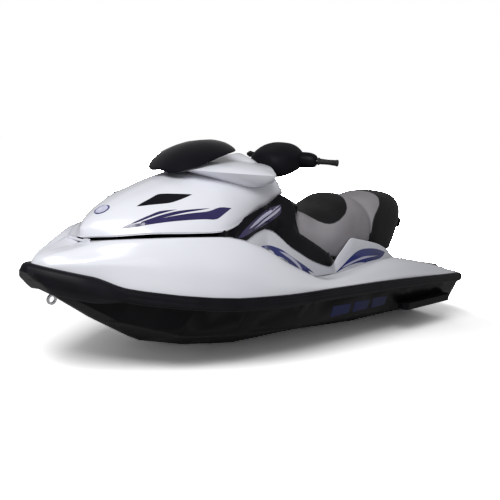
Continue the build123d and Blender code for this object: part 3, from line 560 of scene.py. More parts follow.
def rear_deck():
    rows = []
    for x, *line, lip, inner, middle in deck_rows[:3]:
        rows.append(out(min(x, rear_deck_end), (lip[0] + tuck_out, lip[1] - tuck_down), inner,
                        (rear_crown[0], middle + rear_crown[1]), (0, middle)))
    return skin("rear_deck", rows, 3, 3)


def deck_rim():
    """Deck beside the hood, down to the gap round it."""
    start, edge, *behind = rim_start
    first_lip = deck_rows[9][5]
    rows = [out(start, (first_lip[0] + edge[0], first_lip[1] + edge[1]), *behind)]
    for x, *line, lip, inner, middle in deck_rows[9:17]:
        rows.append(out(x, (lip[0] + tuck_out, lip[1] - tuck_down), inner, (inner[0] - 0.003, inner[1] - 0.006),
                        (inner[0] - 0.004, inner[1] - rim_wall)))
    return skin("deck_rim", rows, 3, 4)


def bow_tip():
    rows = []
    for x, *line, lip, inner, middle in deck_rows[16:]:
        rows.append(out(x, (lip[0] + tuck_out / 2, lip[1] - tuck_down / 2), inner, (0, middle)))
    return skin("bow_tip", rows, 3, 4)


# Footwells: place, outer wall, height of its top, foot of the seat's pedestal.
well_rows = [
    (0.190, 0.414, 0.377, 0.230), (0.200, 0.413, 0.376, 0.232), (0.300, 0.412, 0.402, 0.250),
    (0.420, 0.411, 0.424, 0.268), (0.600, 0.409, 0.455, 0.284), (0.850, 0.407, 0.484, 0.292),
    (1.100, 0.414, 0.478, 0.296), (1.250, 0.418, 0.461, 0.300), (1.470, 0.426, 0.441, 0.305),
    (1.700, 0.430, 0.438, 0.330), (1.850, 0.428, 0.484, 0.350), (1.930, 0.420, 0.515, 0.356),
]
floor_z = 0.3205
wall_lip, wall_foot = 0.014, 0.012
# Rim of the pedestal: place, half width and height.
rim_line = [
    (0.190, 0.160, 0.390), (0.200, 0.165, 0.400), (0.300, 0.200, 0.404), (0.420, 0.230, 0.418), (0.500, 0.240, 0.447),
    (0.577, 0.246, 0.486), (0.650, 0.250, 0.512), (0.723, 0.252, 0.535), (0.895, 0.254, 0.566), (0.995, 0.254, 0.581),
    (1.075, 0.254, 0.590), (1.110, 0.254, 0.565), (1.148, 0.254, 0.531), (1.205, 0.254, 0.482), (1.238, 0.254, 0.445),
    (1.262, 0.254, 0.462), (1.300, 0.254, 0.500), (1.400, 0.254, 0.540), (1.500, 0.254, 0.580), (1.613, 0.256, 0.625),
    (1.715, 0.258, 0.672), (1.850, 0.264, 0.700), (1.930, 0.268, 0.706),
]


# Knee: where the well ends and its inner flank runs on to the hood.
knee_rows = [
    (1.955, (0.432, 0.540), (0.424, 0.538), (0.414, 0.530), (0.410, 0.520), (0.390, 0.515), (0.318, 0.515), (0.312, 0.526),
     (0.291, 0.620), (0.273, 0.698), (0.269, 0.706), (0.264, 0.704), (0.260, 0.650)),
    (2.050, (0.434, 0.568), (0.426, 0.568), (0.416, 0.566), (0.408, 0.564), (0.390, 0.563), (0.345, 0.566), (0.336, 0.576),
     (0.310, 0.642), (0.286, 0.698), (0.282, 0.706), (0.277, 0.704), (0.273, 0.650)),
    (2.200, (0.404, 0.624), (0.400, 0.624), (0.396, 0.624), (0.392, 0.624), (0.386, 0.624), (0.372, 0.627), (0.362, 0.632),
     (0.340, 0.664), (0.318, 0.696), (0.312, 0.704), (0.308, 0.702), (0.304, 0.650)),
    (2.340, (0.372, 0.652), (0.370, 0.652), (0.368, 0.652), (0.366, 0.652), (0.364, 0.652), (0.358, 0.653), (0.352, 0.655),
     (0.344, 0.666), (0.336, 0.678), (0.334, 0.682), (0.332, 0.680), (0.330, 0.650)),
]


def on_line(table, x, column):
    for a, b in zip(table, table[1:]):
        if x <= b[0]:
            return a[column] + (b[column] - a[column]) * max(x - a[0], 0) / (b[0] - a[0])
    return table[-1][column]


def footwells():
    rows = []
    for x, half, crown in rim_line:
        wall, top, foot = (on_line(well_rows, x, column) for column in (1, 2, 3))
        low = top - wall_foot if x == well_rows[0][0] else floor_z
        ends = [(wall + wall_lip, top - 0.0005), (wall + 0.004, top - 0.002), (wall, top - 0.010),
                (wall - 0.002, low + 0.010), (wall - wall_foot, low), (foot + wall_foot, low), (foot, low + 0.011),
                ((foot + half) / 2 + 0.002, (low + crown) / 2),
                (half + 0.003, crown - 0.006), (half, crown), (half - 0.004, crown - 0.002), (half - 0.006, crown - 0.060)]
        rows.append(out(x, *ends))
    rows += [out(x, *ends) for x, *ends in knee_rows]
    return skin("footwells", rows, 2, 3, breaks=(0, 1, len(rows) - len(knee_rows)))


# Tray under the seat: place and height.
base_line = [(0.190, 0.388), (0.300, 0.399), (0.420, 0.412), (0.500, 0.428), (0.650, 0.438), (1.000, 0.440), (1.480, 0.440)]


def seat_base():
    rows = []
    for x, z in base_line:
        half = on_line(rim_line, x, 1)
        rows.append(out(x, (half - 0.004, z - 0.006), (half - 0.020, z - 0.002), (half * 0.5, z + 0.001), (0, z + 0.002)))
    return skin("seat_base", rows, 2, 3)


# Tray under the hood: how far inside the gap it ends, its tip, and the heights between which it is kept
tray_gap = 0.012
tray_tip = (2.90, 0.020)
tray_low, tray_rise = 0.405, 0.250


def hood_tray(node):
    """Deck below the hood with its bin, kept from the solid inside the line of the gap."""
    line = [(row[0], row[6][0] - tray_gap) for row in deck_rows[9:16]] + [tray_tip]
    outline = line + [(x, -y) for x, y in reversed(line)]
    let_go()
    bpy.ops.mesh.primitive_circle_add(vertices=len(outline), radius=1.0, fill_type="NGON")
    cutter = bpy.context.object
    for vertex, (x, y) in zip(cutter.data.vertices, outline):
        vertex.co = (x + stern, y, tray_low)
    bpy.ops.object.mode_set(mode="EDIT")
    bpy.ops.mesh.select_all(action="SELECT")
    bpy.ops.mesh.extrude_region_move(TRANSFORM_OT_translate={"value": (0, 0, tray_rise)})
    bpy.ops.mesh.select_all(action="SELECT")
    bpy.ops.mesh.normals_make_consistent(inside=False)
    bpy.ops.object.mode_set(mode="OBJECT")
    piece = copied(node, "hood_tray_" + node)
    kept_inside(piece, cutter)
    return piece


# Console under the handlebar: place, foot, side, shoulder, near middle and height of the middle.
console_rows = [
    (2.330, (0.325, 0.560), (0.325, 0.640), (0.315, 0.664), (0.200, 0.672), 0.674),
    (2.150, (0.300, 0.550), (0.290, 0.660), (0.262, 0.716), (0.180, 0.736), 0.740),
    (1.996, (0.276, 0.540), (0.256, 0.680), (0.222, 0.760), (0.150, 0.790), 0.796),
    (1.860, (0.262, 0.530), (0.228, 0.700), (0.190, 0.796), (0.120, 0.826), 0.832),
    (1.732, (0.250, 0.530), (0.200, 0.720), (0.164, 0.820), (0.100, 0.846), 0.850),
    (1.610, (0.240, 0.530), (0.176, 0.700), (0.140, 0.800), (0.088, 0.838), 0.842),
    (1.510, (0.225, 0.530), (0.150, 0.670), (0.112, 0.768), (0.072, 0.812), 0.816),
]
console_end = [
    (1.500, 0.130, 0.530), (1.482, 0.100, 0.640), (1.440, 0.086, 0.725), (1.408, 0.058, 0.780), (1.404, 0.000, 0.784),
]
console_back = [
    (1.510, 0.110, 0.530), (1.490, 0.080, 0.640), (1.448, 0.066, 0.700), (1.416, 0.040, 0.735), (1.412, 0.000, 0.740),
]


def console():
    rows = [out(x, foot, side, shoulder, near, (0, top)) for x, foot, side, shoulder, near, top in console_rows]
    rows += [[(x + stern, y, z) for x, y, z in line] for line in (console_end, console_back)]
    return skin("console", rows, 4, 4, breaks=(7,))


# Hood: place, rim, low flank, high flank, shoulder, ridge and crown.
hood_rows = [
    (2.932, (0.002, 0.636), (0.002, 0.645), (0.002, 0.655), (0.002, 0.665), (0.001, 0.672), 0.675),
    (2.928, (0.020, 0.634), (0.020, 0.645), (0.018, 0.658), (0.014, 0.670), (0.008, 0.677), 0.680),
    (2.895, (0.068, 0.644), (0.064, 0.660), (0.052, 0.684), (0.038, 0.702), (0.022, 0.711), 0.715),
    (2.850, (0.122, 0.652), (0.112, 0.671), (0.096, 0.698), (0.074, 0.722), (0.040, 0.740), 0.747),
    (2.721, (0.240, 0.677), (0.223, 0.698), (0.192, 0.730), (0.150, 0.768), (0.080, 0.806), 0.820),
    (2.528, (0.322, 0.685), (0.305, 0.721), (0.262, 0.774), (0.202, 0.826), (0.110, 0.876), 0.896),
    (2.395, (0.356, 0.692), (0.339, 0.734), (0.292, 0.802), (0.232, 0.862), (0.128, 0.914), 0.934),
    (2.302, (0.345, 0.706), (0.338, 0.746), (0.300, 0.820), (0.244, 0.884), (0.140, 0.934), 0.954),
    (2.150, (0.303, 0.746), (0.304, 0.778), (0.284, 0.842), (0.236, 0.900), (0.140, 0.964), 0.990),
    (1.996, (0.258, 0.784), (0.262, 0.814), (0.250, 0.866), (0.210, 0.915), (0.122, 1.006), 1.040),
    (1.930, (0.241, 0.803), (0.245, 0.832), (0.230, 0.879), (0.186, 0.930), (0.112, 1.024), 1.055),
    (1.880, (0.229, 0.817), (0.232, 0.844), (0.216, 0.889), (0.172, 0.944), (0.104, 1.016), 1.052),
    (1.826, (0.214, 0.833), (0.218, 0.857), (0.200, 0.897), (0.158, 0.946), (0.088, 1.000), 1.026),
    (1.770, (0.198, 0.849), (0.202, 0.869), (0.186, 0.905), (0.146, 0.945), (0.072, 0.978), 0.990),
    (1.735, (0.188, 0.855), (0.188, 0.866), (0.172, 0.889), (0.134, 0.916), (0.070, 0.936), 0.944),
    (1.730, (0.184, 0.856), (0.184, 0.857), (0.168, 0.858), (0.130, 0.859), (0.068, 0.860), 0.860),
]


hood_wall = 0.006


def hood():
    rows = []
    for x, rim, low, mid, shoulder, ridge, crown in hood_rows:
        rows.append(out(x, (max(rim[0] - 0.006, 0.001), rim[1] + 0.003), rim, low, mid, shoulder, ridge, (0, crown)))
    shell = skin("hood_shell", rows, 4, 5, corners=(1,), breaks=(1, 14))
    modify(shell, "SOLIDIFY", thickness=hood_wall, offset=-1.0)
    return shell


# Visor: place from the stern and half width of its edge.
visor_rows = [
    (2.480, 0.006), (2.474, 0.062), (2.456, 0.108), (2.425, 0.146), (2.370, 0.178), (2.300, 0.197), (2.220, 0.198),
    (2.150, 0.180), (2.108, 0.144), (2.090, 0.102), (2.080, 0.056), (2.076, 0.006),
]
visor_slope = ((2.480, 0.951), (2.290, 1.077), (2.076, 1.108))
visor_wall = 0.009
visor_droop = 0.046
visor_reach = 0.189
# Round the visor's section: share of the half width, then upper or under side
visor_ring = ((0, -1), (0.5, -1), (0.85, -1), (0.97, -0.7), (1.0, 0), (0.97, 0.7), (0.85, 1), (0.5, 1), (0, 1))


def visor():
    (x0, z0), (x1, z1), (x2, z2) = visor_slope
    rows = []
    for x, half in visor_rows:
        share = (x0 - x) / (x0 - x2)
        level = z0 + (z2 - z0) * share + 4 * (z1 - z0 - (z2 - z0) * (x0 - x1) / (x0 - x2)) * share * (1 - share)
        rows.append(out(x, *((half * part, level - visor_droop * part * part * half / visor_reach + side * visor_wall / 2)
                             for part, side in visor_ring)))
    piece = skin("visor_shield", rows, 2, 3)
    fill_ends(piece)
    return piece


# Mirror pod: half width, nose, tail, top, top and foot of its back edge, and underside.
pod_rows = [
    (0.080, 2.420, 1.850, 1.022, 1.012, 0.930, 0.900), (0.140, 2.420, 1.866, 1.018, 1.010, 0.920, 0.900),
    (0.200, 2.380, 1.890, 1.011, 1.004, 0.912, 0.890), (0.250, 2.310, 1.924, 1.001, 0.995, 0.912, 0.893),
    (0.295, 2.215, 1.960, 0.987, 0.981, 0.920, 0.907), (0.326, 2.120, 1.985, 0.974, 0.971, 0.936, 0.930),
    (0.344, 2.035, 2.005, 0.966, 0.965, 0.957, 0.956),
]
pod_edge = 0.963


def mirror_pod():
    rows = []
    for y, nose, tail, top, back_top, back_low, low in pod_rows:
        span = nose - tail
        ring = [(nose, pod_edge), (nose - span * 0.20, pod_edge + (top - pod_edge) * 0.62), (nose - span * 0.55, top),
                (nose - span * 0.85, (top + back_top) / 2), (tail, back_top),
                (tail + span * 0.02, (back_top + back_low) / 2), (tail + span * 0.05, back_low),
                (nose - span * 0.60, low), (nose - span * 0.25, low + (pod_edge - low) * 0.45),
                (nose, pod_edge)]
        rows.append([(x + stern, y, z) for x, z in ring])
    piece = skin("mirror_pods", rows, 3, 4, corners=(4, 6), mirrored=False)
    fill_ends(piece)
    modify(piece, "MIRROR", use_axis=(False, True, False), use_mirror_merge=False)
    close_up(piece)
    return piece


# Rail round the craft: place from the stern and half width, then its profile as (reach, rise).
rail_path = [
    (0.024, 0.000), (0.024, 0.300), (0.024, 0.500), (0.036, 0.5385), (0.100, 0.546), (0.300, 0.556), (0.600, 0.5648),
    (0.930, 0.5657), (1.250, 0.5663), (1.600, 0.5640), (1.870, 0.5603), (2.110, 0.5416), (2.250, 0.5162),
    (2.370, 0.4857), (2.500, 0.4428), (2.650, 0.3798), (2.800, 0.3006), (2.900, 0.2400), (2.980, 0.1880),
    (3.030, 0.1582), (3.100, 0.0979), (3.140, 0.0522), (3.170, 0.0080), (3.1755, 0.000),
]
rail_heights = [
    (0.0, 0.3118), (0.3, 0.3267), (0.6, 0.3403), (0.93, 0.3521), (1.25, 0.3604), (1.7, 0.3666), (2.1, 0.3669),
    (2.37, 0.3684), (2.5, 0.375), (2.65, 0.388), (2.8, 0.4067), (2.95, 0.4313), (3.1, 0.462), (3.2, 0.484),
]
rail_profile = [
    (-0.006, -0.031), (0.009, -0.031), (0.014, -0.027), (0.015, -0.022), (0.022, -0.021), (0.0245, -0.016),
    (0.0245, -0.004), (0.0225, 0.000), (0.0245, 0.004), (0.0245, 0.016), (0.022, 0.021), (0.015, 0.022), (0.014, 0.027),
    (0.009, 0.031), (-0.006, 0.031),
]
bumper_profile = [
    (-0.008, -0.060), (0.000, -0.058), (0.007, -0.052), (0.015, -0.044), (0.023, -0.035), (0.031, -0.026),
    (0.039, -0.016), (0.0445, -0.004), (0.0445, 0.022), (0.040, 0.032), (0.037, 0.042), (0.030, 0.052), (0.020, 0.057),
    (0.006, 0.058), (-0.006, 0.056),
]
bumper_start = 2.86
bumper_growth = 0.13
fender_lift = 0.001
fender_from, rail_to = 2.79, 2.99
# The stem leans back below this height
craft_length, stem_height = 3.220, 0.510


def level_at(x):
    for (xa, za), (xb, zb) in zip(rail_heights, rail_heights[1:]):
        if x <= xb:
            return za + (zb - za) * (x - xa) / (xb - xa)
    return rail_heights[-1][1]


def swept(name, path, profile_at):
    line = faired([Vector((x, y, 0)) for x, y in path], 4)
    rows = []
    for i, spot in enumerate(line):
        ahead, behind = line[min(i + 1, len(line) - 1)], line[max(i - 1, 0)]
        away = (ahead - behind).normalized()
        outward = Vector((-away.y, away.x, 0))
        if i == 0 and path[0][1] == 0:
            outward = Vector((-1, 0, 0))
        if i == len(line) - 1 and path[-1][1] == 0:
            outward = Vector((1, 0, 0))
        if outward.dot(Vector((0, 1, 0))) < 0 and spot.x > 0.1:
            outward = -outward
        level = level_at(spot.x)
        row = []
        for reach, rise in profile_at(spot.x):
            x, z = spot.x + outward.x * reach, level + rise
            if name == "bow_fender":
                x = min(x, craft_length - max(stem_height - z, 0))
            row.append((x + stern, max(spot.y + outward.y * reach, 0), z))
        rows.append(row)
    return skin(name, rows, 1, 1)


def side_rail():
    path = [spot for spot in rail_path if spot[0] < rail_to]
    return swept("side_rail", path, lambda x: rail_profile)


def bow_fender():
    def profile_at(x):
        grown = min(max((x - bumper_start) / bumper_growth, 0), 1)
        grown = grown * grown * (3 - 2 * grown)
        return [(a[0] + (b[0] - a[0]) * grown + fender_lift, a[1] + (b[1] - a[1]) * grown)
                for a, b in zip(rail_profile, bumper_profile)]
    path = [spot for spot in rail_path if spot[0] > fender_from]
    return swept("bow_fender", path, profile_at)


nose_lean = 0.50
lean_from, lean_over = 1.30, 0.17
floor_share = 0.9
# Seats: place from the stern, then low edge, bulge, side, shoulder, near middle and middle height.
driver_rows = [
    (1.474, (0.066, 0.570), (0.072, 0.620), (0.060, 0.676), (0.038, 0.712), (0.018, 0.720), 0.722),
    (1.462, (0.100, 0.560), (0.106, 0.624), (0.090, 0.682), (0.060, 0.718), (0.030, 0.728), 0.731),
    (1.415, (0.140, 0.545), (0.150, 0.620), (0.128, 0.680), (0.086, 0.716), (0.043, 0.730), 0.735),
    (1.350, (0.176, 0.520), (0.186, 0.606), (0.154, 0.672), (0.100, 0.706), (0.050, 0.724), 0.730),
    (1.280, (0.204, 0.500), (0.218, 0.596), (0.184, 0.670), (0.116, 0.712), (0.056, 0.732), 0.738),
    (1.200, (0.218, 0.480), (0.235, 0.594), (0.208, 0.688), (0.138, 0.738), (0.068, 0.756), 0.761),
    (1.120, (0.224, 0.468), (0.240, 0.600), (0.219, 0.706), (0.150, 0.760), (0.076, 0.780), 0.785),
    (1.040, (0.226, 0.460), (0.241, 0.602), (0.222, 0.726), (0.160, 0.794), (0.083, 0.814), 0.819),
    (0.958, (0.222, 0.468), (0.238, 0.602), (0.221, 0.736), (0.160, 0.816), (0.085, 0.841), 0.846),
    (0.885, (0.216, 0.480), (0.231, 0.600), (0.213, 0.728), (0.155, 0.804), (0.080, 0.828), 0.833),
    (0.810, (0.210, 0.495), (0.222, 0.600), (0.205, 0.705), (0.146, 0.775), (0.075, 0.800), 0.805),
    (0.778, (0.204, 0.505), (0.212, 0.600), (0.195, 0.690), (0.136, 0.752), (0.070, 0.775), 0.780),
]
passenger_rows = [
    (0.762, (0.204, 0.505), (0.210, 0.600), (0.195, 0.695), (0.134, 0.762), (0.070, 0.788), 0.793),
    (0.720, (0.210, 0.495), (0.224, 0.602), (0.207, 0.722), (0.150, 0.794), (0.080, 0.818), 0.823),
    (0.610, (0.208, 0.490), (0.224, 0.610), (0.210, 0.745), (0.156, 0.824), (0.082, 0.852), 0.858),
    (0.500, (0.196, 0.480), (0.216, 0.620), (0.206, 0.758), (0.154, 0.835), (0.082, 0.862), 0.868),
    (0.430, (0.176, 0.480), (0.204, 0.626), (0.198, 0.762), (0.150, 0.836), (0.080, 0.862), 0.868),
    (0.375, (0.146, 0.490), (0.184, 0.630), (0.183, 0.758), (0.140, 0.828), (0.076, 0.854), 0.860),
    (0.325, (0.112, 0.510), (0.158, 0.640), (0.164, 0.745), (0.128, 0.806), (0.068, 0.832), 0.837),
    (0.285, (0.080, 0.545), (0.118, 0.660), (0.128, 0.732), (0.098, 0.778), (0.054, 0.796), 0.800),
]


driver_patch = [
    (1.330, 0.000), (1.326, 0.050), (1.316, 0.100), (1.299, 0.148), (1.274, 0.177), (1.245, 0.195), (1.208, 0.206),
    (1.165, 0.210), (1.125, 0.206), (1.085, 0.200), (1.052, 0.185), (1.030, 0.162), (1.004, 0.125), (0.986, 0.089),
    (0.976, 0.045), (0.974, 0.000),
]
passenger_patch = [
    (0.790, 0.000), (0.790, 0.215), (0.743, 0.207), (0.699, 0.200), (0.647, 0.184), (0.609, 0.150), (0.592, 0.100),
    (0.586, 0.048), (0.585, 0.000),
]


def depth_inside(x, y, outline):
    """How far a plan point lies inside the outline, and below zero how far outside it."""
    x, y = x - stern, abs(y)
    inside, nearest = False, far_off
    for (xa, ya), (xb, yb) in zip(outline, outline[1:]):
        span = (xb - xa) ** 2 + (yb - ya) ** 2
        share = min(max(((x - xa) * (xb - xa) + (y - ya) * (yb - ya)) / span, 0), 1)
        nearest = min(nearest, math.hypot(x - xa - (xb - xa) * share, y - ya - (yb - ya) * share))
        if (ya > y) != (yb > y) and x < xa + (y - ya) / (yb - ya) * (xb - xa):
            inside = not inside
    return nearest if inside else -nearest


def marked(piece, outline, floor):
    """Stores, at each vertex, the distance inside the outline; what lies below the floor height is outside."""
    lining = piece.data.attributes.new("patch", "FLOAT", "POINT")
    for vertex, value in zip(piece.data.vertices, lining.data):
        x, y, z = vertex.co
        value.value = min(depth_inside(x, y, outline), z - floor)


def seat(name, table):
    rows = []
    for x, low, bulge, side, shoulder, near, top in table:
        ring = [(0, low[1]), (low[0] * floor_share, low[1]), low, bulge, side, shoulder, near, (0, top)]
        lean = nose_lean * min(max((x - lean_from) / lean_over, 0), 1)
        rows.append([(x + stern - lean * (z - low[1]), y, z) for y, z in ring])
    piece = skin(name, rows, 3, 4, corners=(2,))
    fill_ends(piece)
    return piece


# Steering pad: place, half width, low edge and top edge.
pad_rows = [
    (1.716, 0.050, 0.975, 1.050), (1.704, 0.084, 0.955, 1.070), (1.660, 0.122, 0.932, 1.098),
    (1.615, 0.138, 0.934, 1.119), (1.565, 0.144, 0.944, 1.133), (1.515, 0.138, 0.958, 1.137),
    (1.466, 0.116, 0.972, 1.126), (1.425, 0.092, 0.984, 1.106), (1.395, 0.072, 1.006, 1.086),
    (1.380, 0.050, 1.028, 1.064),
]


# Round the pad's section: shares of its half width and of its half height, from the middle
pad_ring = ((0, -1), (0.45, -0.96), (0.80, -0.68), (1, -0.10), (0.94, 0.42), (0.66, 0.80), (0.34, 0.97), (0, 1))


def steering_head():
    rows = []
    for x, half, low, top in pad_rows:
        middle, reach = (low + top) / 2, (top - low) / 2
        rows.append(out(x, *((half * across, middle + reach * rise) for across, rise in pad_ring)))
    piece = skin("steering_head", rows, 3, 3)
    fill_ends(piece)
    return piece


# Places on the flank are given on an upright plane and carried along the line of sight onto the surface behind it.
near_middle = -0.08
leap, bridge = 3, 0.1
touching = 0.004


def surface_of(pieces, reach=far_off):
    """Port side of the pieces, as far out as the reach."""
    points, faces = [], []
    for piece in pieces:
        start = len(points)
        points += [vertex.co.copy() for vertex in piece.data.vertices]
        faces += [[start + i for i in polygon.vertices] for polygon in piece.data.polygons
                  if near_middle < polygon.center.y < reach]
    return BVHTree.FromPolygons(points, faces)


def laid(name, plane_y, outline, surface, lift, wall, corners=(), steps=3, cell=0.022, taut=60, twin=True):
    """Thin piece laid on a surface. Its outline is smooth but for the corners, and it bridges what leaps back."""
    ring = [Vector((spot[0] + stern, spot[1] if len(spot) > 2 else plane_y, spot[-1])) for spot in outline]
    turn = corners[0] if corners else 0
    ring = ring[turn:] + ring[:turn] + [ring[turn]]
    sharp = [(corner - turn) % len(outline) for corner in corners]
    line = faired(ring, steps, sharp)[:-1]
    let_go()
    bpy.ops.mesh.primitive_circle_add(vertices=len(line), radius=1.0, fill_type="NGON")
    piece = bpy.context.object
    piece.name = name
    piece.data.name = name
    for vertex, place in zip(piece.data.vertices, line):
        vertex.co = place
    low = [min(spot[i] for spot in line) for i in range(3)]
    high = [max(spot[i] for spot in line) for i in range(3)]
    bpy.ops.object.mode_set(mode="EDIT")
    for axis in (0, 2):
        normal = [0, 0, 0]
        normal[axis] = 1
        count = int((high[axis] - low[axis]) / cell)
        for i in range(1, count + 1):
            spot = list(low)
            spot[axis] += (high[axis] - low[axis]) * i / (count + 1)
            bpy.ops.mesh.select_all(action="SELECT")
            bpy.ops.mesh.bisect(plane_co=spot, plane_no=normal)
    bpy.ops.object.mode_set(mode="OBJECT")
    eye = Vector(camera_place)
    sights, sides = [], []
    for vertex in piece.data.vertices:
        sight = (vertex.co - eye).normalized()
        place = surface.ray_cast(eye, sight)[0]
        sights.append(sight)
        sides.append(place.y if place is not None else -far_off)
    beside = [[] for vertex in piece.data.vertices]
    for edge in piece.data.edges:
        a, b = edge.vertices
        beside[a].append(b)
        beside[b].append(a)
    uses = {}
    for polygon in piece.data.polygons:
        for key in polygon.edge_keys:
            uses[key] = uses.get(key, 0) + 1
    rim = {k for key, count in uses.items() if count == 1 for k in key}
    for step in range(taut):
        for i, near in enumerate(beside):
            most = max(sides[k] for k in near)
            if sides[i] < most - cell * leap:
                sides[i] = most - cell * bridge
    for step in range(taut):
        sides = [side if i in rim else max(side, sum(sides[k] for k in beside[i]) / len(beside[i]))
                 for i, side in enumerate(sides)]
    for vertex, sight, side in zip(piece.data.vertices, sights, sides):
        place = eye + sight * ((side - eye.y) / sight.y)
        spot, normal, face, far = surface.find_nearest(place)
        if far is None or far > touching:
            normal = -sight
        elif normal.dot(eye - place) < 0:
            normal = -normal
        vertex.co = place + normal * lift
    piece.data.update()
    facing = sum((polygon.normal.dot(eye - polygon.center) for polygon in piece.data.polygons), 0.0)
    if facing < 0:
        pick(piece)
        bpy.ops.object.mode_set(mode="EDIT")
        bpy.ops.mesh.select_all(action="SELECT")
        bpy.ops.mesh.flip_normals()
        bpy.ops.object.mode_set(mode="OBJECT")
    modify(piece, "SOLIDIFY", thickness=wall, offset=-1.0)
    if twin:
        modify(piece, "MIRROR", use_axis=(False, True, False), use_mirror_merge=False)
    return piece


panel_line = [
    (2.330, 0.660), (2.310, 0.672), (2.230, 0.712), (2.160, 0.740), (2.103, 0.762), (2.029, 0.790), (1.952, 0.822),
    (1.884, 0.862), (1.838, 0.854), (1.781, 0.830), (1.740, 0.800), (1.720, 0.766), (1.715, 0.711), (1.700, 0.668),
    (1.630, 0.635), (1.560, 0.606), (1.480, 0.574), (1.400, 0.538), (1.340, 0.511), (1.297, 0.476), (1.288, 0.455),
    (1.317, 0.436), (1.372, 0.443), (1.533, 0.490), (1.638, 0.534), (1.738, 0.577), (1.837, 0.633), (1.912, 0.669),
    (1.981, 0.682), (2.044, 0.663), (2.089, 0.641), (2.132, 0.618), (2.196, 0.633), (2.270, 0.648),
]
decals = {
    "dart_low": ("hood", 0.25, "navy", (0, 8), [
        (2.913, 0.710), (2.851, 0.725), (2.778, 0.733), (2.703, 0.745), (2.619, 0.757), (2.505, 0.768), (2.377, 0.777),
        (2.302, 0.794), (2.217, 0.790), (2.268, 0.761), (2.316, 0.737), (2.400, 0.738), (2.501, 0.737), (2.628, 0.732),
        (2.748, 0.723), (2.833, 0.714)]),
    "dart_middle": ("hood", 0.25, "navy", (0, 5), [
        (2.801, 0.735), (2.750, 0.748), (2.692, 0.762), (2.602, 0.778), (2.507, 0.786), (2.372, 0.791), (2.440, 0.782),
        (2.538, 0.772), (2.631, 0.758), (2.720, 0.741), (2.800, 0.726)]),
    "dart_high": ("hood", 0.25, "navy", (0, 5), [
        (2.908, 0.713), (2.862, 0.728), (2.808, 0.747), (2.752, 0.765), (2.694, 0.781), (2.590, 0.787), (2.645, 0.778),
        (2.705, 0.766), (2.762, 0.751), (2.807, 0.738), (2.862, 0.724)]),
    "panel_swoosh": ("panel", 0.28, "purple", (0, 5), [
        (2.182, 0.645), (2.148, 0.675), (2.091, 0.716), (2.010, 0.766), (1.940, 0.794), (1.861, 0.809), (1.850, 0.769),
        (1.905, 0.732), (1.984, 0.700), (2.077, 0.669), (2.151, 0.642)]),
    "panel_sliver_high": ("panel", 0.28, "pale", (0, 3), [
        (2.103, 0.686), (2.046, 0.730), (1.978, 0.768), (1.865, 0.806), (1.928, 0.770), (1.998, 0.737),
        (2.065, 0.700)]),
    "panel_sliver_low": ("panel", 0.28, "pale", (0, 3), [
        (2.063, 0.684), (2.004, 0.722), (1.942, 0.754), (1.859, 0.796), (1.869, 0.777), (1.940, 0.739),
        (2.002, 0.711)]),
    "front_flame": ("flank", 0.29, "blue", (0, 8, 9, 10, 17), [
        (2.036, 0.586), (1.997, 0.594), (1.947, 0.596), (1.886, 0.584), (1.821, 0.564), (1.744, 0.529), (1.663, 0.492),
        (1.580, 0.455), (1.493, 0.410), (1.556, 0.430), (1.509, 0.392), (1.582, 0.413), (1.643, 0.430), (1.704, 0.457),
        (1.755, 0.490), (1.814, 0.522), (1.874, 0.538), (1.894, 0.557), (1.935, 0.574), (1.977, 0.575)]),
    "front_sliver": ("flank", 0.29, "pale", (0, 5), [
        (1.847, 0.559), (1.782, 0.542), (1.723, 0.516), (1.672, 0.487), (1.628, 0.453), (1.603, 0.422), (1.635, 0.442),
        (1.679, 0.473), (1.740, 0.507), (1.799, 0.535)]),
    "rear_flame": ("flank", 0.26, "blue", (0, 8), [
        (1.278, 0.362), (1.212, 0.387), (1.141, 0.426), (1.070, 0.468), (1.006, 0.499), (0.937, 0.514), (0.838, 0.514),
        (0.732, 0.502), (0.634, 0.479), (0.655, 0.455), (0.728, 0.429), (0.814, 0.411), (0.918, 0.428), (1.014, 0.425),
        (1.115, 0.410), (1.201, 0.385)]),
    "rear_sliver": ("flank", 0.26, "pale", (0, 4), [
        (1.160, 0.407), (1.086, 0.433), (0.995, 0.451), (0.901, 0.465), (0.722, 0.459), (0.874, 0.452), (0.981, 0.440),
        (1.072, 0.422)]),
}
vent_line = [
    (2.745, 0.790), (2.720, 0.803), (2.668, 0.825), (2.627, 0.843), (2.597, 0.847), (2.481, 0.847), (2.400, 0.845),
    (2.439, 0.831), (2.491, 0.816), (2.542, 0.805), (2.604, 0.800), (2.666, 0.796), (2.713, 0.792),
]


# Inner flank ends at this half width. Films are proud of what carries them, the pale ones of the blue ones.
flank_reach = 0.375
film_wall = 0.0006
film_proud, pale_proud = 0.0008, 0.0022
panel_plane, panel_proud, panel_wall = 0.28, 0.006, 0.010
vent_plane, vent_proud, vent_wall = 0.15, 0.0012, 0.004
ring_place, ring_slope = (2.818, 0.757), (0.90, -0.55)
bar_plane = 0.575
hull_bars = ((1.70, 1.52), (1.48, 1.32), (1.28, 1.12))
bar_lean = 0.020


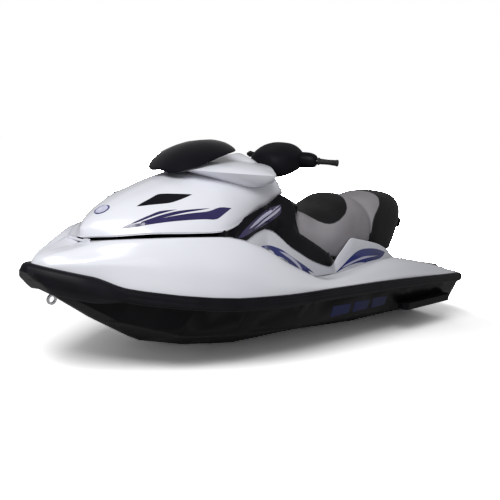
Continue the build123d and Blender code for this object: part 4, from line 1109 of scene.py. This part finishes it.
def lay_graphics(white, shell, hull):
    flank = surface_of(white[2:3] + white[4:], flank_reach)
    panel = laid("side_panels", panel_plane, panel_line, flank, panel_proud, panel_wall, (0, 1, 7, 20, 28, 31),
                 3, 0.016, 200)
    dress(panel, gloss_trim, "root", ("side_panel_port", "side_panel_starboard"), 40.0)
    surfaces = {"hood": surface_of([shell]), "panel": surface_of([panel]),
                "flank": surface_of(white[2:3] + white[4:5], flank_reach)}
    colours = {"navy": navy, "purple": purple, "blue": blue, "pale": pale}
    for name, (where, plane_y, colour, corners, outline) in decals.items():
        proud = pale_proud if colour == "pale" else film_proud
        piece = laid(name, plane_y, outline, surfaces[where], proud, film_wall, corners)
        dress(piece, colours[colour], "hood" if where == "hood" else "root")
    for name, radius, material, proud in (("nose_ring", 0.036, blue, 0.0010), ("nose_disc", 0.029, pale, 0.0024)):
        turns = [(radius * math.cos(a * math.pi / 12), radius * math.sin(a * math.pi / 12)) for a in range(24)]
        round_line = [(ring_place[0] + ring_slope[0] * ahead, aside, ring_place[1] + ring_slope[1] * ahead)
                      for ahead, aside in turns]
        ring = laid(name, 0, round_line, surfaces["hood"], proud, film_wall, (), 1, 0.022, 0, False)
        dress(ring, material, "hood")
    side = surface_of([hull])
    for place, (start, end) in enumerate(hull_bars):
        bar = [(start, 0.300), (end, 0.296), (end + bar_lean, 0.246), (start + bar_lean, 0.242)]
        strip = laid("hull_bar_%d" % place, bar_plane, bar, side, film_proud, film_wall, (0, 1, 2, 3), 2)
        dress(strip, deep_blue, "root")
    vent = laid("hood_vents", vent_plane, vent_line, surfaces["hood"], vent_proud, vent_wall, (0, 6))
    dress(vent, gloss_trim, "hood", ("hood_vent_port", "hood_vent_starboard"))


# Steering: the bar sweeps back from its middle. Reach along the bar, radius and height share of each ring.
bar_middle = (1.5487, 0.0, 1.048)
bar_sweep = math.radians(20.0)
grip_rings = [
    (0.232, 0.013), (0.233, 0.0205), (0.238, 0.0215), (0.243, 0.0185), (0.246, 0.0165), (0.338, 0.0170), (0.341, 0.0190),
    (0.348, 0.0190), (0.351, 0.0160), (0.352, 0.0010),
]
housing_rings = [
    (0.090, 0.030), (0.110, 0.037), (0.150, 0.041), (0.185, 0.040), (0.205, 0.036), (0.222, 0.027), (0.230, 0.013),
]


def turned(name, rings, flat=1.0, around=24):
    """Round piece along the port half of the bar, with its twin on the other side."""
    away = Vector((-math.sin(bar_sweep), math.cos(bar_sweep), 0))
    across = Vector((math.cos(bar_sweep), math.sin(bar_sweep), 0))
    centre = Vector((bar_middle[0] + stern, bar_middle[1], bar_middle[2]))
    rows = []
    for reach, radius in rings:
        ring = []
        for i in range(around + 1):
            angle = 2 * math.pi * i / around
            ring.append(centre + away * reach + across * radius * math.cos(angle)
                        + Vector((0, 0, radius * flat * math.sin(angle))))
        rows.append(ring)
    piece = skin(name, rows, 1, 2, mirrored=False)
    fill_ends(piece)
    modify(piece, "MIRROR", use_axis=(False, True, False), use_mirror_merge=False)
    return piece


def steering():
    dress(steering_head(), padding, "steering", ("steering_pad",))
    dress(turned("grips", grip_rings), gripping, "steering", ("grip_port", "grip_starboard"))
    dress(turned("switch_housings", housing_rings, 1.1), trim, "steering",
          ("switch_housing_port", "switch_housing_starboard"))


def build():
    for node in ("deck", "foredeck"):
        dress(hood_tray(node), trim, "root", (), 30.0)
    white = [
        dress(deck_side(), gelcoat, stands_for=("deck", "foredeck")),
        dress(rear_deck(), gelcoat),
        dress(deck_rim(), gelcoat),
        dress(bow_tip(), gelcoat),
        dress(footwells(), gelcoat),
        dress(console(), gloss_trim),
    ]
    shell = dress(hood(), gelcoat, "hood", ("hood",))
    dress(visor(), gloss_trim, "hood", ("visor",))
    dress(mirror_pod(), gelcoat, "hood", ("mirror_pod_port", "mirror_pod_starboard"))
    dress(side_rail(), rubber, "root", ("rub_rail_port", "rub_rail_starboard"))
    dress(bow_fender(), rubber, "root", ("bow_bumper",))
    for name, table, outline, floor, material in (
            ("driver", driver_rows, driver_patch, 0.66, driver_vinyl),
            ("passenger", passenger_rows, passenger_patch, 0.60, passenger_vinyl)):
        cushion = seat(name + "_cushion", table)
        modify(cushion, "SUBSURF", levels=1)
        marked(cushion, outline, floor)
        dress(cushion, material, "seat", (name + "_seat",), 50.0)
    steering()
    dress(seat_base(), gelcoat)
    hull = dress(copied("hull", "hull_shell"), hull_gloss, "root", ("hull",), 30.0)
    return white, shell, hull


carried = {
    "hull_black": hull_gloss, "bumper_black": rubber, "trim_black": trim, "pad_black": padding, "mat_black": matting,
    "vinyl_grey": grey_vinyl, "pump_alloy": alloy, "steel": steel, "mirror_glass": mirror_face, "gauge_face": display_face,
    "engine_metal": block_iron, "gelcoat_white": gelcoat,
}


def carry_over():
    """Better finish for each CAD node that stays."""
    slot_of = {part["node"]: part["material_slot"] for part in frame["record"]["subparts"]}
    for node, piece in frame["nodes"].items():
        piece.data.materials.clear()
        piece.data.materials.append(gelcoat if node == "hood_hinge" else carried[slot_of[node]])


white, shell, hull = build()
lay_graphics(white, shell, hull)
carry_over()


set_camera()
studio()
bpy.context.scene.view_settings.view_transform = "Standard"
